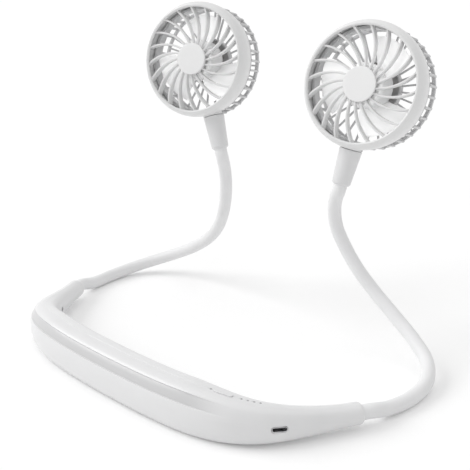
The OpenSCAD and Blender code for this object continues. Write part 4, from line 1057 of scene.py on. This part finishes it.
seat = swivel_boss(RING_BACK_R - SEAT_IN_WALL * RING_WALL, SWIVEL_FACE, front=True)
print("the seat's front half has", len(seat[0]), "points")

# %% The grille and the disc
plate = rod(DISC_R - RIB_T / 2, HUB_PLATE_Z - HUB_PLATE_T, HUB_PLATE_Z, steps=96)
grille = together([turned(ring_profile, steps=180), ribs, plate, seat])
disc_face = HUB_PLATE_Z + DISC_T
disc = domed(np.vstack([
    [[0, HUB_PLATE_Z + DISC_LIFT], [DISC_R, HUB_PLATE_Z + DISC_LIFT]],
    arc([DISC_R - DISC_EDGE, disc_face - DISC_EDGE], DISC_EDGE, 0, 90, steps=6),
    [[DISC_R - DISC_FLAT, disc_face + DISC_CROWN[0]], [0, disc_face + DISC_CROWN[1]]],
]), steps=120)
make_both(
    in_head,
    ("grille", grille, "fan plastic", "white_plastic", "head", "front_grille"),
    ("disc", disc, "disc plastic", "light_grey_plastic", "head", "hub_cap"),
)
print("grille:", len(grille[0]), "points")

# %% [markdown]
# ## The back of a head
# The rear cage is a comb: bars run along the side from a flange behind the front ring, turn a tight corner
# and end on a ring at the edge of the back. Thin spokes lead from that ring to the motor's cup. Bar and spoke
# are each one section carried along a line, so they are worked out once and turned.

# %% The cage's sizes
BAR_N, BAR_W, BAR_T, BAR_CORNER, BAR_STEP, BAR_ROUND, CAGE_L = 36, 1.5, 2.2, 1.8, 0.3, 0.35, 15.0
RIM_IN, RIM_FRONT, RIM_L, RIM_ROUND, SEAT_GAP = 35.4, 5.5, 7.5, 0.4, 0.1
CUP_R, CUP_WALL, CUP_BACK, CUP_L, CUP_ROUND = 17.2, 1.4, 1.5, 5.0, 0.5
TUBE_IN, TUBE_OUT, TUBE_TOP = 2.2, 3.2, 5.5
FLANGE_T, FLANGE_DROP, FLANGE_ROUND = 1.6, 0.15, 0.3
BACK_RING_W, BACK_RING_T, BACK_RING_EDGE, BACK_RING_INSET, BACK_RING_ROUND = 2.3, 2.0, 0.9, 0.3, 0.35
SPOKE_N, SPOKE_W, SPOKE_T, SPOKE_INSET, SPOKE_ROUND = 28, 1.2, 1.6, 0.6, 0.3
RIM_OUT = RING_BACK_R - RING_WALL - SEAT_GAP
CAGE_BACK = RING_BACK - CAGE_L
bar_out = RING_BACK_R + BAR_STEP
flange_front = RING_BACK - FLANGE_DROP
flange_back = flange_front - FLANGE_T
rim_front = RING_BACK + RIM_FRONT
back_ring_out = bar_out - BACK_RING_EDGE
back_ring_in = back_ring_out - BACK_RING_W
back_ring_low = CAGE_BACK + BACK_RING_INSET
print("the cage reaches back to", CAGE_BACK, "mm on the head's axis")


# %% Bars and spokes
def cage_bar():
    """A bar's line in the plane through the axis: from the flange down the side, round the corner and in to
    the ring at the edge of the back."""
    r = BAR_CORNER - BAR_T / 2
    x, z = bar_out - BAR_T / 2, CAGE_BACK + BAR_T / 2
    bend = arc([x - r, z + r], r, 0, -90, steps=9)
    flat = np.vstack([[[x, flange_front - FLANGE_T / 2]], bend, [[back_ring_in + BACK_RING_W / 4, z]]])
    line = np.stack([flat[:, 0], 0 * flat[:, 0], flat[:, 1]], -1)
    legs = unit(np.diff(line, axis=0))
    ways = unit(np.vstack([legs[:1], legs[:-1] + legs[1:], legs[-1:]]))
    half = np.full(len(line), BAR_T / 2)
    across = np.array([0.0, 1.0, 0.0])
    return carried(rounded_box(BAR_W, -half, half, BAR_ROUND), line, across, np.cross(ways, across))


def cage_spoke():
    """A thin bar from the cup to the ring at the edge of the back."""
    z = CAGE_BACK + SPOKE_INSET
    line = np.array([[CUP_R - CUP_WALL / 2, 0, z], [back_ring_in + BACK_RING_W / 2, 0, z]])
    section = rounded_box(SPOKE_W, np.zeros(2), np.full(2, SPOKE_T), SPOKE_ROUND)
    return carried(section, line, [0, 1, 0], [0, 0, 1])


bar_turns, spoke_turns = (360 * (np.arange(n) + 0.5) / n - 90 for n in (BAR_N, SPOKE_N))
print("a bar has", len(cage_bar()[0]), "points and a spoke", len(cage_spoke()[0]))


# %% The rear cage
def box_ring(inside, outside, low, high, r):
    """A ring of box section with softened edges."""
    return turned(softened([[inside, low], [outside, low], [outside, high], [inside, high]], r), steps=180)


# A turned outline stays a little off the axis, where its round would shrink to nothing.
NEAR_AXIS = 0.001
cup_floor = CAGE_BACK + CUP_BACK
cup_profile = softened([
    [NEAR_AXIS, CAGE_BACK], [CUP_R, CAGE_BACK], [CUP_R, CAGE_BACK + CUP_L],
    [CUP_R - CUP_WALL, CAGE_BACK + CUP_L], [CUP_R - CUP_WALL, cup_floor], [TUBE_OUT, cup_floor],
    [TUBE_OUT, TUBE_TOP], [TUBE_IN, TUBE_TOP], [TUBE_IN, cup_floor], [NEAR_AXIS, cup_floor],
], CUP_ROUND)
cage = together([
    box_ring(RIM_IN, RIM_OUT, rim_front - RIM_L, rim_front, RIM_ROUND),
    box_ring(RIM_IN + BAR_STEP, back_ring_out + BAR_STEP, flange_back, flange_front, FLANGE_ROUND),
    box_ring(back_ring_in, back_ring_out, back_ring_low, back_ring_low + BACK_RING_T, BACK_RING_ROUND),
    turned(cup_profile, steps=96),
    copies(cage_bar(), bar_turns),
    copies(cage_spoke(), spoke_turns),
    swivel_boss(RIM_IN, SWIVEL_FACE, front=False),
])
# The cage's white plastic is darkened with painted shade.
make_both(in_head, ("cage", cage, "cage plastic", "white_plastic", "head", "rear_cage"))
print("cage:", len(cage[0]), "points, with", BAR_N, "bars and", SPOKE_N, "spokes")

# %% [markdown]
# ## The impeller
# Three broad blades rise through their chord like short pieces of a screw thread, a little less steeply
# towards the tip. A blade is a surface of two parameters, how far out and how far along the chord, with a
# thickness that goes to nothing at both edges, so its edges are round. The hub is a turned cap.

# %% The impeller's surfaces
BLADE_N, BLADE_R, BLADE_T, HUB_R, HUB_WALL, HUB_ROUND, SHAFT_R = 3, 32.3, 1.1, 14.2, 1.6, 0.9, 1.0
HUB_FRONT, HUB_BACK, BOSS_R, BOSS_L, SHAFT_FRONT = 11.5, -5.0, 3.5, 3.4, 10.6
BLADE_MID, BLADE_CHORD, BLADE_SWEEP, BLADE_PHASE, BLADE_CREASE = 0.4, 70.0, 9.0, 64.0, 50
BLADE_HUB_H, BLADE_TIP_H, BLADE_CAMBER = 6.4, 6.8, 1.4
CHORD_AT_HUB, CHORD_GROWTH, CHORD_BEND = 0.9, 0.2, 0.16
CAMBER_AT_HUB, CAMBER_GROWTH = 0.4, 0.6
EDGE_POWER, TIP_POWER, TIP_THINNING = 6, 24, 0.9
hub_shoulder = HUB_FRONT - HUB_WALL


def blade(rows=30, steps=28):
    """The turn about the axis grows with the place along the chord and a little with the radius, and the
    height falls with the place along the chord, plus a camber that is largest at mid chord."""
    out = np.linspace(0, 1, rows)[:, None]
    c = -np.cos(np.linspace(0, np.pi, steps))[None, :]
    r = between(HUB_R - HUB_WALL / 2, BLADE_R, out)
    chord = BLADE_CHORD / 2 * c * (CHORD_AT_HUB + CHORD_GROWTH * out - CHORD_BEND * out**2)
    a = np.radians(chord + BLADE_SWEEP * out)
    camber = BLADE_CAMBER * (1 - c**2) * (CAMBER_AT_HUB + CAMBER_GROWTH * out)
    z = BLADE_MID - c * between(BLADE_HUB_H, BLADE_TIP_H, out) + camber
    thin = np.sqrt(np.maximum(0, 1 - TIP_THINNING * out**TIP_POWER))
    lift = BLADE_T / 2 * np.sqrt(np.maximum(0, 1 - c**EDGE_POWER)) * thin
    points = [np.stack([r * np.cos(a), r * np.sin(a), z + way * lift], -1) for way in (1, -1)]
    loops = np.concatenate([points[0], points[1][:, -2:0:-1]], 1)
    n, m = loops.shape[:2]
    k = np.arange(1, steps - 2)
    strip = np.stack([k, k + 1, m - k - 1, m - k], -1)
    tips = np.array([[0, 1, m - 1], [steps - 1, m - steps + 2, steps - 2]])
    ends = [strip[:, ::-1], tips[:, ::-1], strip + (n - 1) * m, tips + (n - 1) * m]
    return loops.reshape(-1, 3), [grid_faces(n, m)] + ends


blades = copies(blade(), BLADE_PHASE + np.arange(BLADE_N) * 360 / BLADE_N)
print(BLADE_N, "blades with", len(blades[0]), "points in all")

# %% The impeller
hub_profile = softened([
    [SHAFT_R, hub_shoulder - BOSS_L], [BOSS_R, hub_shoulder - BOSS_L], [BOSS_R, hub_shoulder],
    [HUB_R - HUB_WALL, hub_shoulder], [HUB_R - HUB_WALL, HUB_BACK], [HUB_R, HUB_BACK], [HUB_R, hub_shoulder],
    [HUB_R - HUB_WALL, HUB_FRONT], [NEAR_AXIS, HUB_FRONT], [NEAR_AXIS, SHAFT_FRONT], [SHAFT_R, SHAFT_FRONT],
], HUB_ROUND)
rotor = together([turned(hub_profile, steps=120), blades])
# The blades' white plastic is lightened with painted light.
make_both(in_head, ("fan", rotor, "blade plastic", "white_plastic", "rotor", "impeller", BLADE_CREASE))
print("impeller:", len(rotor[0]), "points")

# %% [markdown]
# ## The inner parts
# Motor, cells, boards, screws and the inlet keep their construction shapes, which are already right, and get
# real finishes. The stator is a stack of thin steel sheets and the coils are wound wire, so both carry fine
# bands across the motor's axis. The bands are turned with each head by a Mapping node.

# %% Banded finishes and the boards
# The wave texture turns by this many radians for each unit of its scale.
WAVE_RADIANS, WAVE_WANDER = 20, 0.15
TRACK_PITCH, TRACK_DEPTH = 2.4, 0.03
MASK_GREENS, MASK_ROUGHNESS = ((0.012, 0.10, 0.045, 1), (0.03, 0.20, 0.08, 1)), 0.35


def banded(name, side, dark, light, pitch, depth, roughness):
    """Dark and light bands in turn across a head's axis, each a pitch wide in millimetres."""
    material, tree, shader = new_material(name)
    along = Matrix(head_turn(side).T.tolist()).to_euler()
    place = add_node(tree, "Mapping", Vector=add_place(tree), Rotation=along).outputs["Vector"]
    wave = add_node(tree, "TexWave", Vector=place, Distortion=WAVE_WANDER)
    wave.bands_direction = "Z"
    bands = wave.outputs["Fac"]
    give(wave, Scale=1 / (pitch * MM) / WAVE_RADIANS * np.pi)
    give(shader, Base_Color=add_mix(tree, bands, dark, light), Metallic=1.0, Roughness=roughness)
    add_bump(tree, shader, bands, depth)
    return material


def board_finish():
    """Green solder mask: narrow lighter lines on the cells of a stretched cell pattern, like tracks."""
    material, tree, shader = new_material("board lacquer")
    cells = add_node(tree, "TexVoronoi", Vector=add_place(tree), Scale=1 / (TRACK_PITCH * MM))
    cells.feature, cells.distance = "F1", "CHEBYCHEV"
    height = cells.outputs["Distance"]
    give(shader, Base_Color=add_mix(tree, height, *MASK_GREENS), Roughness=MASK_ROUGHNESS)
    add_bump(tree, shader, height, TRACK_DEPTH)
    return material


SHEET_GREYS = (0.2, 0.2, 0.21, 1), (0.42, 0.42, 0.43, 1)
WIRE_COPPERS = (0.42, 0.14, 0.05, 1), (0.85, 0.40, 0.2, 1)
finishes["board lacquer"] = board_finish()
for side in SIDES:
    sheets, wire = f"{side} sheets", f"{side} wire"
    finishes[sheets] = banded(sheets, side, *SHEET_GREYS, pitch=0.5, depth=0.04, roughness=0.4)
    finishes[wire] = banded(wire, side, *WIRE_COPPERS, pitch=0.3, depth=0.08, roughness=0.35)
print(len(finishes), "finishes made")

# %% Finishes for the nodes that stay
STAYING = {
    "collar_screws": "bright steel", "battery_cells": "cell wrap", "battery_leads": "lead sleeve",
    "control_board": "board lacquer", "charging_board": "board lacquer", "board_screws": "bright steel",
    "usb_socket_shell": "bright steel", "usb_socket_tongue": "tongue plastic",
    "tactile_switch": "black plastic", "status_lights": "light chip", "core_anchors": "bright steel",
}
HEAD_STAYING = {
    "swivel_pin": "bright steel", "swivel_clip": "bright steel", "motor_shaft": "bright steel",
    "bearing_sleeve": "bearing bronze", "rotor_ring": "magnet steel",
    "motor_stator": "{} sheets", "motor_windings": "{} wire",
}
for side in SIDES:
    STAYING.update({f"{side}_{node}": finish.format(side) for node, finish in HEAD_STAYING.items()})
for node, finish in STAYING.items():
    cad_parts[node].data.materials.clear()
    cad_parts[node].data.materials.append(finishes[finish])
shown = [name for name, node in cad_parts.items() if not node.hide_render]
print(len(shown), "construction nodes stay, all finished:", set(shown) == set(STAYING))

# %% [markdown]
# ## Floor and light
# The photograph is a pale studio: the floor and the wall behind are one white, with a soft grey shadow
# under the collar. The floor is white in its own right, and what the camera sees directly gets a little
# more, so that it reaches paper white where no shadow falls. The light comes evenly from all round, with one
# wide sun from the front left and a wider one from above. Together they give a level surface a strength of
# about one, so that a colour looks as it is written. The blades lie deep in their rings, where too little of
# that light comes, so a third sun from the front is kept to them.

# %% The floor and the world
FLOOR_SIZE, FLOOR_DROP, FLOOR_COLOUR, FLOOR_GLOW, WORLD_LIGHT = 30.0, 0.0001, 0.94, 0.1, 0.6


def seen_directly(tree):
    """One for what the camera sees directly, or in a mirror or through glass, and zero for light on the
    object."""
    path = add_node(tree, "LightPath")
    total = path.outputs["Is Camera Ray"]
    for way in ("Is Glossy Ray", "Is Transmission Ray"):
        add = add_node(tree, "Math")
        add.operation, add.use_clamp = "ADD", True
        tree.links.new(total, add.inputs[0])
        tree.links.new(path.outputs[way], add.inputs[1])
        total = add.outputs[0]
    return total


def make_floor():
    """A wide level sheet just under the collar, of a plain white that takes shadows."""
    half = FLOOR_SIZE / 2
    mesh = bpy.data.meshes.new("floor")
    corners = [(x * half, y * half, -FLOOR_DROP) for x, y in ((-1, -1), (1, -1), (1, 1), (-1, 1))]
    mesh.from_pydata(corners, [], [(0, 1, 2, 3)])
    floor = add_object("floor", mesh)
    material, tree, shader = new_material("studio white")
    glow = add_range(tree, seen_directly(tree), 0.0, FLOOR_GLOW)
    give(shader, Base_Color=(FLOOR_COLOUR,) * 3 + (1,), Roughness=1.0, Specular_IOR_Level=0.0)
    give(shader, Emission_Color=(1, 1, 1, 1), Emission_Strength=glow)
    mesh.materials.append(material)


def make_world():
    """Even pale light all round, and plain white where the camera looks past the floor."""
    world = bpy.data.worlds.new("studio")
    bpy.context.scene.world = world
    world.use_nodes = True
    tree = world.node_tree
    strength = add_range(tree, seen_directly(tree), WORLD_LIGHT, 1.0)
    give(tree.nodes["Background"], Color=(1, 1, 1, 1), Strength=strength)


make_floor()
make_world()
print("floor", FLOOR_SIZE, "m wide, light from all round", WORLD_LIGHT)


# %% The suns
def add_sun(name, way, strength, spread, only=()):
    """Light from far away in a direction, soft at the shadow's edge by a spread in degrees. It can be kept to
    some of the pieces."""
    sun = add_object(name, bpy.data.lights.new(name, "SUN"))
    sun.data.energy, sun.data.angle = strength, np.radians(spread)
    sun.rotation_euler = Vector(way).to_track_quat("Z", "Y").to_euler()
    if only:
        lit = bpy.data.collections.new(name + " pieces")
        for piece in only:
            lit.objects.link(piece)
        sun.light_linking.receiver_collection = lit


fans = [bpy.data.objects[f"{side}_fan"] for side in SIDES]
add_sun("key", way=(-0.66, -0.45, 0.6), strength=1.3, spread=40)
add_sun("top", way=(0.1, 0.1, 0.95), strength=0.4, spread=60)
add_sun("front", way=(0.0, -0.94, 0.33), strength=2.2, spread=50, only=fans)
bpy.context.scene.view_settings.view_transform = "Standard"
print("suns:", [light.name for light in bpy.data.lights])
